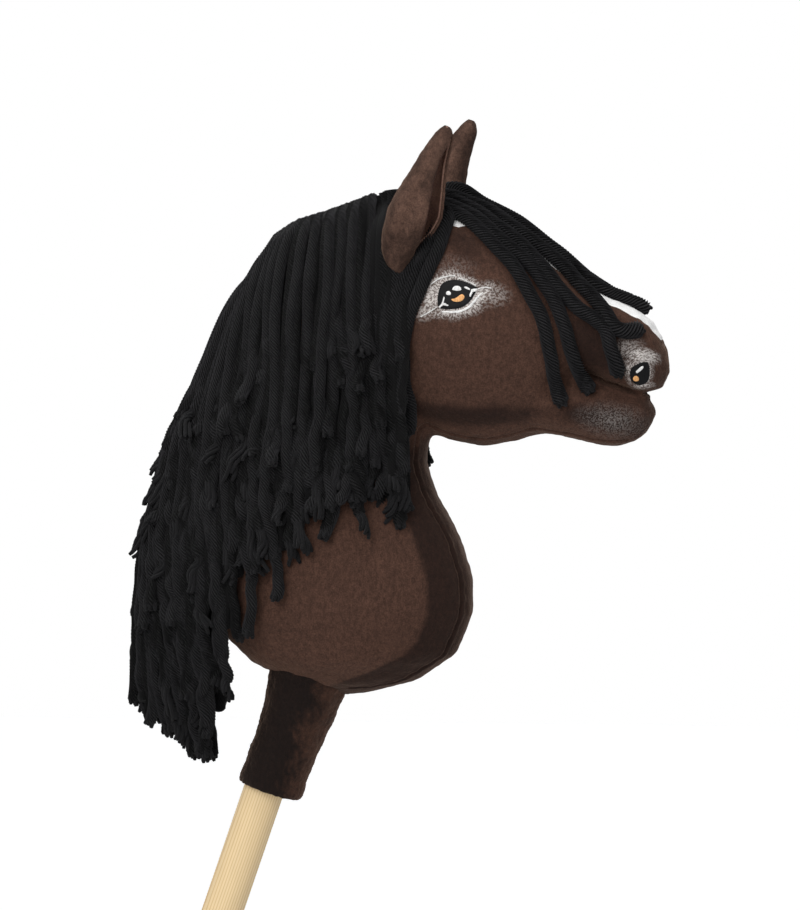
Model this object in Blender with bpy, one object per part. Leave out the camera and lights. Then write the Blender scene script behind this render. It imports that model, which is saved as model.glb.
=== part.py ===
"""Hobby horse: a stuffed plush horse's head with a yarn mane, pushed onto a round wooden stick.

Metres, +Z up. The horse looks along +X and its left side is +Y. The origin is the place on the
stick's axis where a hand holds it. The stick leans back, so its lower end is at -X. Head and neck
are lofts through oval rings; covers, linings, painted films and locks of yarn are layers of them.
"""
import math

import bmesh
import bpy
from mathutils import Vector

# Clearance kept between pieces that touch
CLEARANCE = 0.0003

# Stick: a sanded dowel, leaning back from the upright
STICK_DIAMETER = 0.028
STICK_BELOW_HAND = 0.460
HAND_TO_CUFF = 0.060
STICK_IN_HEAD = 0.280
STICK_LEAN = math.radians(19.0)
STICK_CHAMFER = 0.002
STICK_SIDES = 32

# Sewn tube that the stick is pushed into
CHANNEL_CLOTH = 0.001

# Cloth of the cover, and of the ears
PLUSH = 0.0016
EAR_CLOTH = 0.0014

# Width of the panels between the two sides, and the point in front of the nose that the cut at the
# face strip's end aims at (x, z)
FACE_STRIP_WIDTH = 0.030
FACE_STRIP_END = (0.305, 0.3687)
GUSSET_WIDTH = 0.036

# Padded cuff round the stick: its rear side lies close to the stick and has no padding from the
# given share of the sewn tube's radius on. Its rounded mouth goes in by shares of the rounding
CUFF_LENGTH = 0.090
CUFF_MOUTH_RADIUS = 0.0205
CUFF_TOP_RADIUS = 0.0236
CUFF_EDGE_ROUND = 0.006
CUFF_EDGE_SHARES = ((0.0, 0.45), (0.35, 0.15), (1.0, 0.0))
CUFF_REAR_ROUND = 0.2
CUFF_REAR_WALL = 0.0019
CUFF_BARE_REAR = 0.75

# Ears: a rolled leaf of cloth, open to the front. Each row is the middle (x, y, z) of the roll and
# its radius, from the foot on the plush up to the tip
EAR_RINGS = (
    (0.1204, 0.0400, 0.4140, 0.0048),
    (0.1196, 0.0405, 0.4273, 0.0090),
    (0.1219, 0.0412, 0.4363, 0.0126),
    (0.1272, 0.0422, 0.4453, 0.0170),
    (0.1308, 0.0430, 0.4536, 0.0185),
    (0.1361, 0.0446, 0.4674, 0.0167),
    (0.1411, 0.0466, 0.4816, 0.0129),
    (0.1450, 0.0480, 0.4918, 0.0105),
    (0.1487, 0.0494, 0.5000, 0.0089),
    (0.1529, 0.0507, 0.5085, 0.0070),
    (0.1555, 0.0516, 0.5160, 0.0042),
)
EAR_ROLL = math.radians(286.0)
EAR_OPENING = math.radians(-27.0)
EAR_COLUMNS = 12

# Yarn: how far the locks stand off the plush, and how blunt they end
FORELOCK_DEPTH = 0.0085
TAPE_WIDTH = 0.016
TAPE_CLOTH = 0.0015
TAPE_ROOM = 0.012
LOCKS_PER_SIDE = 10
LOCK_GAP = 0.0006
LOCK_POINT = 0.35

# Thickness of the painted films
PAINT = 0.0007

# Rings of the neck, from its round bottom up to the poll:
# back point (x, z), front point (x, z), half width
NECK_RINGS = (
    ((0.062, 0.1235), (0.096, 0.1250), 0.006),
    ((0.042, 0.1310), (0.127, 0.1335), 0.028),
    ((0.012, 0.1445), (0.154, 0.1520), 0.045),
    ((-0.021, 0.175), (0.1668, 0.1820), 0.0555),
    ((-0.031, 0.203), (0.1683, 0.2050), 0.0567),
    ((-0.034, 0.230), (0.160, 0.2290), 0.0570),
    ((-0.033, 0.260), (0.1447, 0.2590), 0.0540),
    ((-0.030, 0.290), (0.1365, 0.2840), 0.0510),
    ((-0.014, 0.352), (0.138, 0.3120), 0.0480),
    ((0.008, 0.398), (0.150, 0.3350), 0.0460),
    ((0.042, 0.434), (0.160, 0.3620), 0.0430),
    ((0.080, 0.450), (0.165, 0.3950), 0.0400),
    ((0.113, 0.457), (0.160, 0.4280), 0.0330),
    ((0.134, 0.457), (0.152, 0.4480), 0.0160),
)

# Rings of the head, from behind the cheek to the nose: top point, bottom point, half width
HEAD_RINGS = (
    ((0.118, 0.450), (0.126, 0.318), 0.034),
    ((0.132, 0.4605), (0.138, 0.3035), 0.0435),
    ((0.149, 0.4637), (0.152, 0.2985), 0.0490),
    ((0.170, 0.4582), (0.174, 0.2943), 0.0505),
    ((0.193, 0.4465), (0.197, 0.2985), 0.0475),
    ((0.215, 0.4305), (0.214, 0.3050), 0.0425),
    ((0.236, 0.4137), (0.230, 0.3310), 0.0360),
    ((0.258, 0.3992), (0.251, 0.3430), 0.0315),
    ((0.2765, 0.3915), (0.2685, 0.3348), 0.0300),
    ((0.291, 0.3818), (0.285, 0.3308), 0.0275),
    ((0.300, 0.3705), (0.2955, 0.3350), 0.0205),
    ((0.3046, 0.3600), (0.3040, 0.3450), 0.0085),
)

# Rings of the lower jaw, from inside the head to the lip: top point, bottom point, half width
JAW_RINGS = (
    ((0.200, 0.352), (0.205, 0.3032), 0.028),
    ((0.220, 0.349), (0.220, 0.3040), 0.033),
    ((0.238, 0.346), (0.237, 0.3005), 0.031),
    ((0.253, 0.342), (0.254, 0.2962), 0.0285),
    ((0.267, 0.3370), (0.268, 0.2960), 0.0270),
    ((0.280, 0.3335), (0.2805, 0.3005), 0.0235),
    ((0.2892, 0.3272), (0.2885, 0.3075), 0.0160),
    ((0.2945, 0.3215), (0.2942, 0.3150), 0.0065),
)

# Rings round the whole mane: outline point, point in front, half width
MANE_RINGS = (
    ((0.122, 0.466), (0.160, 0.452), 0.026),
    ((0.106, 0.4695), (0.176, 0.415), 0.046),
    ((0.076, 0.464), (0.180, 0.384), 0.0545),
    ((0.033, 0.450), (0.174, 0.349), 0.0575),
    ((-0.005, 0.404), (0.165, 0.322), 0.0605),
    ((-0.033, 0.352), (0.153, 0.298), 0.0625),
    ((-0.056, 0.290), (0.148, 0.268), 0.0655),
    ((-0.070, 0.235), (0.168, 0.226), 0.0690),
    ((-0.077, 0.180), (0.150, 0.172), 0.0620),
    ((-0.076, 0.145), (0.050, 0.140), 0.0400),
    ((-0.069, 0.112), (0.004, 0.112), 0.0250),
    ((-0.050, 0.088), (-0.006, 0.095), 0.0170),
    ((-0.036, 0.077), (-0.017, 0.077), 0.0080),
)

# The way the yarn falls, seen from the side: place across the mane from front to back, then
# points (x, z) of that line from the crest down to where the locks end
MANE_FLOW = (
    (0.00, ((0.099, 0.480), (0.099, 0.430), (0.105, 0.384),
            (0.112, 0.336), (0.117, 0.295), (0.119, 0.257))),
    (0.25, ((0.076, 0.478), (0.078, 0.427), (0.079, 0.383),
            (0.079, 0.335), (0.077, 0.290), (0.080, 0.240))),
    (0.50, ((0.044, 0.470), (0.038, 0.423), (0.034, 0.377),
            (0.031, 0.329), (0.030, 0.270), (0.040, 0.205))),
    (0.70, ((0.024, 0.462), (0.008, 0.405), (-0.002, 0.356),
            (-0.010, 0.300), (-0.013, 0.235), (-0.002, 0.165))),
    (0.85, ((0.014, 0.456), (-0.008, 0.398), (-0.024, 0.346),
            (-0.038, 0.290), (-0.045, 0.215), (-0.022, 0.085))),
    (1.00, ((0.004, 0.456), (-0.035, 0.405), (-0.065, 0.350),
            (-0.090, 0.290), (-0.105, 0.210), (-0.095, 0.060))),
)

# Middle lines of the forelock's side locks (x, z), upper lock first, and their half width
FORELOCK_HALF_WIDTH = 0.0052
FORELOCK_ROUTES = (
    ((0.152, 0.466), (0.180, 0.453), (0.208, 0.435), (0.233, 0.4135),
     (0.256, 0.393), (0.273, 0.3815), (0.286, 0.3775)),
    ((0.157, 0.452), (0.182, 0.438), (0.207, 0.418), (0.231, 0.394),
     (0.248, 0.374), (0.260, 0.357), (0.269, 0.343)),
    ((0.162, 0.438), (0.182, 0.426), (0.202, 0.405), (0.219, 0.384),
     (0.230, 0.362), (0.238, 0.345), (0.246, 0.331)),
    ((0.167, 0.424), (0.181, 0.415), (0.194, 0.396), (0.207, 0.374), (0.219, 0.350), (0.229, 0.327)),
)
CHEEK_ROUTE = ((0.145, 0.428), (0.137, 0.412), (0.131, 0.385), (0.127, 0.350), (0.128, 0.312))
CHEEK_LOCK_INNER = 0.028

# The lock down the middle of the forehead, and the tape along the crest
TOP_LOCK_WIDTH = 0.011
TOP_LOCK_ROOM = 0.011
TOP_LOCK_ROUTE = (
    (0.128, 0.468), (0.148, 0.471), (0.171, 0.464), (0.199, 0.4495),
    (0.227, 0.430), (0.255, 0.4085), (0.270, 0.401), (0.289, 0.392),
)
CREST_ROUTE = (
    (0.126, 0.462), (0.104, 0.456), (0.080, 0.450),
    (0.042, 0.434), (0.008, 0.398), (-0.014, 0.352),
)

# Painted eye: centre, half length, half height, tilt and pointedness; painted nostril the same
EYE_CENTRE = (0.1625, 0.4025)
EYE_HALF = (0.0145, 0.0100)
EYE_TILT = math.radians(12.0)
EYE_ALMOND = 0.35
NOSTRIL_CENTRE = (0.2865, 0.3480)
NOSTRIL_HALF = (0.0082, 0.0058)
NOSTRIL_TILT = math.radians(52.0)
NOSTRIL_ALMOND = 0.0
FILM_POINTS = 16

# Colours (linear), roughness
DARK_PLUSH = ("dark_plush", (0.030, 0.012, 0.008), 0.95)
WHITE_PLUSH = ("white_plush", (0.72, 0.70, 0.66), 0.95)
LINING = ("ear_lining", (0.040, 0.018, 0.012), 0.95)
FILLING = ("filling", (0.80, 0.79, 0.75), 1.0)
CHANNEL_COTTON = ("channel_cotton", (0.55, 0.52, 0.46), 0.9)
PINE = ("pine", (0.78, 0.58, 0.33), 0.55)
PAINT_BLACK = ("black_paint", (0.008, 0.008, 0.009), 0.35)
YARN = ("black_yarn", (0.010, 0.010, 0.011), 0.9)

# The stick's direction, and the direction square to it that points to the front
AXIS = Vector((math.sin(STICK_LEAN), 0.0, math.cos(STICK_LEAN)))
FRONT = Vector((math.cos(STICK_LEAN), 0.0, -math.sin(STICK_LEAN)))
SIDE = Vector((0.0, 1.0, 0.0))

# The two sides of the toy, as the y direction they lie in
SIDES = (("left", 1), ("right", -1))

# Fineness of the oval rings, how far a loft's ends bulge, the angle that stays a sharp edge, the
# distance at which points are the same, and a distance beyond the toy on every side
RING_SIDES = 20
RING_STEPS = 1
END_BULGE = 0.25
SHARP_ANGLE = math.radians(40.0)
SAME_POINT = 0.00002
OVERSHOOT = 0.02
FAR = 0.3


def clear_scene():
    """Remove whatever the file starts with."""
    for old in list(bpy.data.objects):
        bpy.data.objects.remove(old, do_unlink=True)


def material(finish):
    """The Principled material of one finish, made once."""
    name, colour, roughness = finish
    found = bpy.data.materials.get(name)
    if found:
        return found
    made = bpy.data.materials.new(name)
    made.use_nodes = True
    shader = made.node_tree.nodes["Principled BSDF"]
    shader.inputs["Base Color"].default_value = (*colour, 1.0)
    shader.inputs["Roughness"].default_value = roughness
    shader.inputs["Metallic"].default_value = 0.0
    made.diffuse_color = (*colour, 1.0)
    return made


def from_bmesh(name, mesh_data):
    """Turn a bmesh into a linked object with its faces pointing out."""
    bmesh.ops.recalc_face_normals(mesh_data, faces=mesh_data.faces)
    mesh = bpy.data.meshes.new(name)
    mesh_data.to_mesh(mesh)
    mesh_data.free()
    made = bpy.data.objects.new(name, mesh)
    bpy.context.collection.objects.link(made)
    return made


def helper(made):
    """Mark an object as a guide that is not part of the toy."""
    made.hide_render = True
    made.display_type = "WIRE"
    return made


def discard(*objects):
    """Delete guides that are no longer needed."""
    for old in objects:
        bpy.data.objects.remove(old, do_unlink=True)


def finish(made, name, look):
    """Name a finished piece, give it its material and shade it."""
    made.name = name
    made.data.name = name
    made.data.materials.clear()
    made.data.materials.append(material(look))
    made.data.shade_smooth()
    made.data.set_sharp_from_angle(angle=SHARP_ANGLE)
    return made


def clean(piece):
    """Merge the points that a cut left closer together than the pieces are accurate."""
    mesh_data = bmesh.new()
    mesh_data.from_mesh(piece.data)
    bmesh.ops.remove_doubles(mesh_data, verts=mesh_data.verts, dist=SAME_POINT)
    mesh_data.to_mesh(piece.data)
    mesh_data.free()


def show(piece, name, look):
    """Turn a worked guide into a piece of the toy."""
    clean(piece)
    piece.hide_render = False
    piece.display_type = "TEXTURED"
    return finish(piece, name, look)


def copy_of(source, name="guide"):
    """A separate object with its own copy of the mesh."""
    made = bpy.data.objects.new(name, source.data.copy())
    bpy.context.collection.objects.link(made)
    return helper(made)


def combine(target, other, operation):
    """Apply an exact Boolean of target with other, which stays."""
    modifier = target.modifiers.new("combine", "BOOLEAN")
    modifier.operation = operation
    modifier.solver = "EXACT"
    modifier.object = other
    with bpy.context.temp_override(object=target, active_object=target, selected_objects=[target]):
        bpy.ops.object.modifier_apply(modifier=modifier.name)
    return target


def minus(target, *others):
    """Cut the others out of the target."""
    for other in others:
        combine(target, other, "DIFFERENCE")
    return target


def within(target, other):
    """Keep what the target shares with the other."""
    return combine(target, other, "INTERSECT")


def smooth_line(points, steps):
    """A Catmull-Rom curve through the points, with steps pieces between each two."""
    known = [Vector(point) for point in points]
    known = [2 * known[0] - known[1]] + known + [2 * known[-1] - known[-2]]
    line = []
    for before, start, end, after in zip(known, known[1:], known[2:], known[3:]):
        for step in range(steps):
            t = step / steps
            line.append(0.5 * (2 * start + (end - before) * t
                               + (2 * before - 5 * start + 4 * end - after) * t ** 2
                               + (3 * start - before - 3 * end + after) * t ** 3))
    line.append(known[-2])
    return line


def loft(name, rings, steps=RING_STEPS, grow=0.0, sides=RING_SIDES):
    """A closed body through oval rings, moved out along its own normals by grow."""
    flat = [(*first, *second, half) for first, second, half in rings]
    mesh_data = bmesh.new()
    loops = []
    for row in smooth_rows(flat, steps):
        first = Vector((row[0], 0.0, row[1]))
        second = Vector((row[2], 0.0, row[3]))
        loops.append(oval(mesh_data, (first + second) / 2, (first - second) / 2, SIDE * row[4], sides))
    close_loft(mesh_data, loops)
    return grown(mesh_data, name, grow)


def smooth_rows(rows, steps):
    """Rows of numbers between the given ones, each column on its own smooth curve."""
    columns = []
    for column in zip(*rows):
        points = [(float(index), value) for index, value in enumerate(column)]
        columns.append([point.y for point in smooth_line(points, steps)])
    return list(zip(*columns))


def oval(mesh_data, centre, along, across, sides):
    """One ring of vertices, with a flat side and no vertex on the toy's middle plane."""
    turn = [math.tau * (index + 0.5) / sides for index in range(sides)]
    return [mesh_data.verts.new(centre + along * math.cos(a) + across * math.sin(a)) for a in turn]


def wall(mesh_data, loops):
    """Join rings with triangles, split the same way on each copy, so that layers stay parallel."""
    sides = len(loops[0])
    for lower, upper in zip(loops, loops[1:]):
        for index in range(sides):
            after = (index + 1) % sides
            if index < sides // 2:
                mesh_data.faces.new((lower[index], lower[after], upper[after]))
                mesh_data.faces.new((lower[index], upper[after], upper[index]))
            else:
                mesh_data.faces.new((lower[index], lower[after], upper[index]))
                mesh_data.faces.new((lower[after], upper[after], upper[index]))


def close_loft(mesh_data, loops):
    """Join the rings and close both ends with a pole each."""
    wall(mesh_data, loops)
    sides = len(loops[0])
    for loop, neighbour in ((loops[0], loops[1]), (loops[-1], loops[-2])):
        middle = sum((vert.co for vert in loop), Vector()) / sides
        inner = sum((vert.co for vert in neighbour), Vector()) / sides
        pole = mesh_data.verts.new(middle + END_BULGE * (middle - inner))
        for index in range(sides):
            mesh_data.faces.new((loop[index], loop[(index + 1) % sides], pole))


def grown(mesh_data, name, grow):
    """Finish a closed bmesh as a guide, each point moved along its normal by grow."""
    bmesh.ops.recalc_face_normals(mesh_data, faces=mesh_data.faces)
    mesh_data.normal_update()
    moves = [(vert, vert.normal * grow) for vert in mesh_data.verts]
    for vert, move in moves:
        vert.co += move
    return helper(from_bmesh(name, mesh_data))


def prism(outline, low, high):
    """A guide block: an outline in the side view, reaching from y = low to y = high."""
    mesh_data = bmesh.new()
    ends = []
    for y in (low, high):
        ends.append([mesh_data.verts.new((x, y, z)) for x, z in outline])
    caps = [mesh_data.faces.new(end) for end in ends]
    for index in range(len(outline)):
        after = (index + 1) % len(outline)
        mesh_data.faces.new((ends[0][index], ends[0][after], ends[1][after], ends[1][index]))
    mesh_data.normal_update()
    bmesh.ops.triangulate(mesh_data, faces=caps)
    return helper(from_bmesh("block", mesh_data))


def beside(side, inner):
    """The reach in y of everything on one side, from the distance inner outwards."""
    return sorted((side * inner, side * FAR))


def slab(low, high):
    """A guide block that holds everything between y = low and y = high."""
    return prism(((-FAR, -FAR), (2 * FAR, -FAR), (2 * FAR, 2 * FAR), (-FAR, 2 * FAR)), low, high)


def rod(name, radius, start, end, sides=STICK_SIDES):
    """A round rod on the stick's axis, from start to end measured from the hand."""
    mesh_data = bmesh.new()
    loops = []
    for along in (start, end):
        loops.append(oval(mesh_data, AXIS * along, FRONT * radius, SIDE * radius, sides))
    wall(mesh_data, loops)
    for loop in loops:
        mesh_data.faces.new(loop)
    bmesh.ops.dissolve_limit(mesh_data, angle_limit=0.001, verts=mesh_data.verts, edges=mesh_data.edges)
    return from_bmesh(name, mesh_data)


def ribbon(route, half_width, steps=2):
    """The outline in the side view of a band along a route, with a blunt end."""
    line = smooth_line(route, steps)
    left, right = [], []
    for index, point in enumerate(line):
        ahead = line[min(index + 1, len(line) - 1)] - line[max(index - 1, 0)]
        square = Vector((-ahead.y, ahead.x)).normalized() * half_width
        left.append(point + square)
        right.append(point - square)
    tip = line[-1] + (line[-1] - line[-2]).normalized() * half_width
    return left + [tip] + right[::-1]


def body(grow):
    """Neck and head as one closed form, grown or shrunk."""
    neck = loft("neck_form", NECK_RINGS, grow=grow)
    head = loft("head_form", HEAD_RINGS, grow=grow)
    combine(neck, head, "UNION")
    discard(head)
    return neck


def layer(inner, outer):
    """The space over the plush between two heights."""
    space = body(outer)
    core = body(inner)
    minus(space, core)
    discard(core)
    return space


def make_stick():
    """The dowel, with both ends chamfered."""
    radius = STICK_DIAMETER / 2
    stick = rod("stick", radius, -STICK_BELOW_HAND, HAND_TO_CUFF + STICK_IN_HEAD)
    bevel = stick.modifiers.new("chamfer", "BEVEL")
    bevel.width = STICK_CHAMFER
    bevel.segments = 1
    bevel.limit_method = "ANGLE"
    bevel.angle_limit = math.radians(60.0)
    return finish(stick, "stick", PINE)


def channel_radius():
    """Outer radius of the sewn tube."""
    return STICK_DIAMETER / 2 + CLEARANCE + CHANNEL_CLOTH


def channel_top():
    """Where the sewn tube ends, measured from the hand."""
    return HAND_TO_CUFF + STICK_IN_HEAD + CLEARANCE + CHANNEL_CLOTH


def channel_space():
    """What the stuffing and the covers leave free for the sewn tube."""
    start = HAND_TO_CUFF - OVERSHOOT
    return helper(rod("channel_space", channel_radius() + CLEARANCE, start, channel_top() + CLEARANCE))


def make_channel():
    """The sewn tube, open at the cuff and closed over the stick's end."""
    tube = rod("stick_channel", channel_radius(), HAND_TO_CUFF, channel_top())
    inside = STICK_DIAMETER / 2 + CLEARANCE
    hollow = rod("hollow", inside, HAND_TO_CUFF - OVERSHOOT, channel_top() - CHANNEL_CLOTH)
    minus(tube, hollow)
    discard(hollow)
    return finish(tube, "stick_channel", CHANNEL_COTTON)


def cuff_form(name, grow):
    """The padded cuff: round rings whose rear side stays close to the stick."""
    rear = channel_radius() + CUFF_REAR_WALL
    mouth = CUFF_MOUTH_RADIUS
    rings = []
    for height, inward in CUFF_EDGE_SHARES:
        rounding = CUFF_EDGE_ROUND * inward
        reach = max(mouth - rounding, rear - rounding * CUFF_REAR_ROUND)
        rings.append((CUFF_EDGE_ROUND * height, reach, mouth - rear))
    middle = (mouth + CUFF_TOP_RADIUS) / 2
    rings.append((CUFF_LENGTH / 2, middle, middle - rear))
    rings.append((CUFF_LENGTH, CUFF_TOP_RADIUS, CUFF_TOP_RADIUS - rear))
    mesh_data = bmesh.new()
    loops = []
    for along, reach, shift in rings:
        centre = AXIS * (HAND_TO_CUFF + along) + FRONT * shift
        loops.append(oval(mesh_data, centre, FRONT * reach, SIDE * reach, RING_SIDES))
    close_loft(mesh_data, loops)
    return grown(mesh_data, name, grow)


def make_cuff(bore):
    """Plush sleeve and its padding, both cut by the neck above and by the sewn tube."""
    neck = loft("neck_above", NECK_RINGS, grow=CLEARANCE)
    cover = cuff_form("cuff_cover", 0.0)
    hollow = cuff_form("cuff_hollow", -PLUSH)
    minus(cover, hollow, bore, neck)
    padding = cuff_form("cuff_stuffing", -PLUSH - CLEARANCE)
    edge = FRONT * (-CUFF_BARE_REAR * channel_radius())
    corners = (AXIS * -FAR + edge, AXIS * FAR + edge, AXIS * FAR - FRONT * FAR, AXIS * -FAR - FRONT * FAR)
    bare = prism([(corner.x, corner.z) for corner in corners], -FAR, FAR)
    minus(padding, bore, neck, bare)
    discard(hollow, neck, bare)
    show(cover, "cuff_cover", DARK_PLUSH)
    show(padding, "cuff_stuffing", FILLING)


def make_stuffing(bore):
    """Filling of the neck, of the head and of the jaw, each cut by the larger one."""
    inside = -PLUSH - CLEARANCE
    neck = loft("neck_stuffing", NECK_RINGS, grow=inside)
    minus(neck, bore)
    head = loft("head_stuffing", HEAD_RINGS, grow=inside)
    neck_space = loft("neck_space", NECK_RINGS, grow=-PLUSH)
    minus(head, neck_space)
    jaw = loft("jaw_stuffing", JAW_RINGS, grow=inside)
    head_space = loft("head_space", HEAD_RINGS, grow=CLEARANCE)
    minus(jaw, head_space)
    discard(neck_space, head_space)
    show(neck, "neck_stuffing", FILLING)
    show(head, "head_stuffing", FILLING)
    show(jaw, "jaw_stuffing", FILLING)


def middle_line(rings):
    """The middle line in the side view, by its points halfway between each two rings."""
    line = []
    for ring, after in zip(rings, rings[1:]):
        ends = (ring[0], ring[1], after[0], after[1])
        line.append((sum(end[0] for end in ends) / 4, sum(end[1] for end in ends) / 4))
    return line


def face_strip_outline():
    """Side view of the space above the head's middle, from the forehead to the nose."""
    line = middle_line(HEAD_RINGS[1:-2]) + [FACE_STRIP_END]
    return line + [(2 * FAR, FACE_STRIP_END[1]), (2 * FAR, 2 * FAR), (line[0][0], 2 * FAR)]


def gusset_outline():
    """Side view of the space under the head, behind the mouth, and in front of the neck's middle."""
    head_line = middle_line(HEAD_RINGS[3:7])
    neck_line = middle_line(NECK_RINGS[:9])
    return neck_line + head_line + [(head_line[-1][0], -FAR), (neck_line[0][0], -FAR)]


def make_covers(bore):
    """Side panels, face strip and under gusset, cut from one skin of head and neck."""
    skin = minus(layer(-PLUSH, 0.0), bore)
    half_strip = FACE_STRIP_WIDTH / 2
    half_gusset = GUSSET_WIDTH / 2
    above = face_strip_outline()
    below = gusset_outline()
    strip_room = prism(above, -half_strip, half_strip)
    show(within(copy_of(skin), strip_room), "face_strip", WHITE_PLUSH)
    gusset_room = prism(below, -half_gusset, half_gusset)
    show(within(copy_of(skin), gusset_room), "under_gusset", DARK_PLUSH)
    strip_cut = prism(above, -half_strip - CLEARANCE, half_strip + CLEARANCE)
    gusset_cut = prism(below, -half_gusset - CLEARANCE, half_gusset + CLEARANCE)
    for end, side in SIDES:
        half = slab(*beside(side, CLEARANCE / 2))
        panel = within(copy_of(skin), half)
        show(minus(panel, gusset_cut, strip_cut), "side_panel_" + end, DARK_PLUSH)
        discard(half)
    jaw = loft("jaw_cover", JAW_RINGS)
    hollow = loft("jaw_hollow", JAW_RINGS, grow=-PLUSH)
    head_space = loft("head_space", HEAD_RINGS, grow=CLEARANCE)
    minus(jaw, hollow, head_space)
    show(jaw, "jaw_cover", DARK_PLUSH)
    discard(skin, strip_room, gusset_room, strip_cut, gusset_cut, hollow, head_space)


def ear_frame(side):
    """The middles of the ear's rows and the two directions across it, for side +1 or -1."""
    middles = [Vector((x, y * side, z)) for x, y, z, radius in EAR_RINGS]
    up = (middles[-1] - middles[0]).normalized()
    opening = Vector((math.cos(EAR_OPENING), -math.sin(EAR_OPENING) * side, 0.0))
    opening = (opening - up * opening.dot(up)).normalized()
    return middles, opening, up.cross(opening) * side


def ear_leaf(side, inner, outer):
    """A rolled leaf of cloth between two distances inside the ear's outer face."""
    middles, opening, across = ear_frame(side)
    turns = [math.pi + EAR_ROLL * (column / EAR_COLUMNS - 0.5) for column in range(EAR_COLUMNS + 1)]
    rays = [opening * math.cos(turn) + across * math.sin(turn) for turn in turns]
    mesh_data = bmesh.new()
    faces_out, faces_in = [], []
    for middle, ring in zip(middles, EAR_RINGS):
        faces_out.append([mesh_data.verts.new(middle + ray * (ring[3] - outer)) for ray in rays])
        faces_in.append([mesh_data.verts.new(middle + ray * (ring[3] - inner)) for ray in rays])
    for grid in (faces_out, faces_in):
        for lower, upper in zip(grid, grid[1:]):
            for column in range(EAR_COLUMNS):
                mesh_data.faces.new((lower[column], lower[column + 1], upper[column + 1], upper[column]))
    rim, rim_in = leaf_rim(faces_out), leaf_rim(faces_in)
    for index in range(len(rim)):
        after = (index + 1) % len(rim)
        mesh_data.faces.new((rim[index], rim[after], rim_in[after], rim_in[index]))
    return helper(from_bmesh("ear", mesh_data))


def leaf_rim(grid):
    """The points round the edge of a grid of points, in order."""
    rim = [row[0] for row in grid] + grid[-1][1:-1]
    rim += [row[-1] for row in grid[::-1]]
    return rim + grid[0][-2:0:-1]


def ear_space(side):
    """The whole room that an ear takes up, its roll included."""
    middles, opening, across = ear_frame(side)
    mesh_data = bmesh.new()
    loops = []
    for middle, ring in zip(middles, EAR_RINGS):
        radius = ring[3] + CLEARANCE
        loops.append(oval(mesh_data, middle, opening * radius, across * radius, RING_SIDES))
    close_loft(mesh_data, loops)
    return helper(from_bmesh("ear_space", mesh_data))


def make_ears(plush_space):
    """Two ears, each a plush back and a cloth lining, standing on the head."""
    for end, side in SIDES:
        back = minus(ear_leaf(side, EAR_CLOTH, 0.0), plush_space)
        show(back, "ear_" + end, DARK_PLUSH)
        start = EAR_CLOTH + CLEARANCE
        lining = minus(ear_leaf(side, start + EAR_CLOTH, start), plush_space)
        show(lining, "ear_lining_" + end, LINING)


def ellipse_outline(centre, half, tilt, almond, count=FILM_POINTS):
    """A tilted oval in the side view, drawn out to points at its two ends by almond."""
    outline = []
    for index in range(count):
        angle = math.tau * index / count
        along = half[0] * math.cos(angle)
        height = half[1] * math.sin(angle) * (1.0 - almond * math.cos(angle) ** 2)
        outline.append((centre[0] + along * math.cos(tilt) - height * math.sin(tilt),
                        centre[1] + along * math.sin(tilt) + height * math.cos(tilt)))
    return outline


def make_painted_films():
    """Eyes and nostrils: films of paint that follow the plush under them."""
    space = loft("film_top", HEAD_RINGS, grow=CLEARANCE + PAINT)
    plush = loft("film_base", HEAD_RINGS, grow=CLEARANCE)
    minus(space, plush)
    films = (
        ("eye", ellipse_outline(EYE_CENTRE, EYE_HALF, EYE_TILT, EYE_ALMOND)),
        ("nostril", ellipse_outline(NOSTRIL_CENTRE, NOSTRIL_HALF, NOSTRIL_TILT, NOSTRIL_ALMOND)),
    )
    for name, outline in films:
        for end, side in SIDES:
            room = prism(outline, *beside(side, CLEARANCE))
            show(within(copy_of(space), room), name + "_" + end, PAINT_BLACK)
            discard(room)
    discard(space, plush)


def crest_room(grow):
    """The tape's place along the crest, as a block."""
    return prism(ribbon(CREST_ROUTE, TAPE_ROOM + grow), -TAPE_WIDTH / 2 - grow, TAPE_WIDTH / 2 + grow)


def make_crest_tape():
    """The tape along the crest that carries the yarn."""
    room = crest_room(0.0)
    tape = within(layer(CLEARANCE, CLEARANCE + TAPE_CLOTH), room)
    discard(room)
    return show(tape, "crest_tape", YARN)


def tape_space():
    """What the locks leave free for the tape, down to inside the plush."""
    room = crest_room(CLEARANCE)
    space = within(body(2 * CLEARANCE + TAPE_CLOTH), room)
    discard(room)
    return space


def flow_line(place):
    """The line of fall at a place across the mane, between the given ones."""
    for (left, first), (right, second) in zip(MANE_FLOW, MANE_FLOW[1:]):
        if place <= right:
            break
    share = (place - left) / (right - left)
    return [Vector(a).lerp(Vector(b), share) for a, b in zip(first, second)]


def lock_outline(index):
    """Side view of one mane lock, between two lines of fall, with a blunt point."""
    front = smooth_line(flow_line(index / LOCKS_PER_SIDE), 2)
    back = smooth_line(flow_line((index + 1) / LOCKS_PER_SIDE), 2)
    inset_front, inset_back = [], []
    for left, right in zip(front, back):
        step = (right - left).normalized() * (LOCK_GAP / 2)
        inset_front.append(left + step)
        inset_back.append(right - step)
    tip = (inset_front[-1] + inset_back[-1]) / 2 + (front[-1] - front[-2]) * LOCK_POINT
    return inset_front + [tip] + inset_back[::-1]


def make_mane(plush_space, tape):
    """Locks on both sides of the neck, cut from one body of yarn by their lines of fall."""
    mane = loft("mane_form", MANE_RINGS, grow=0.0)
    minus(mane, plush_space, tape)
    for index in range(LOCKS_PER_SIDE):
        for end, side in SIDES:
            room = prism(lock_outline(index), *beside(side, LOCK_GAP / 2))
            lock = within(copy_of(mane), room)
            show(lock, "mane_lock_%s_%02d" % (end, index + 1), YARN)
            discard(room)
    discard(mane)


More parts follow.
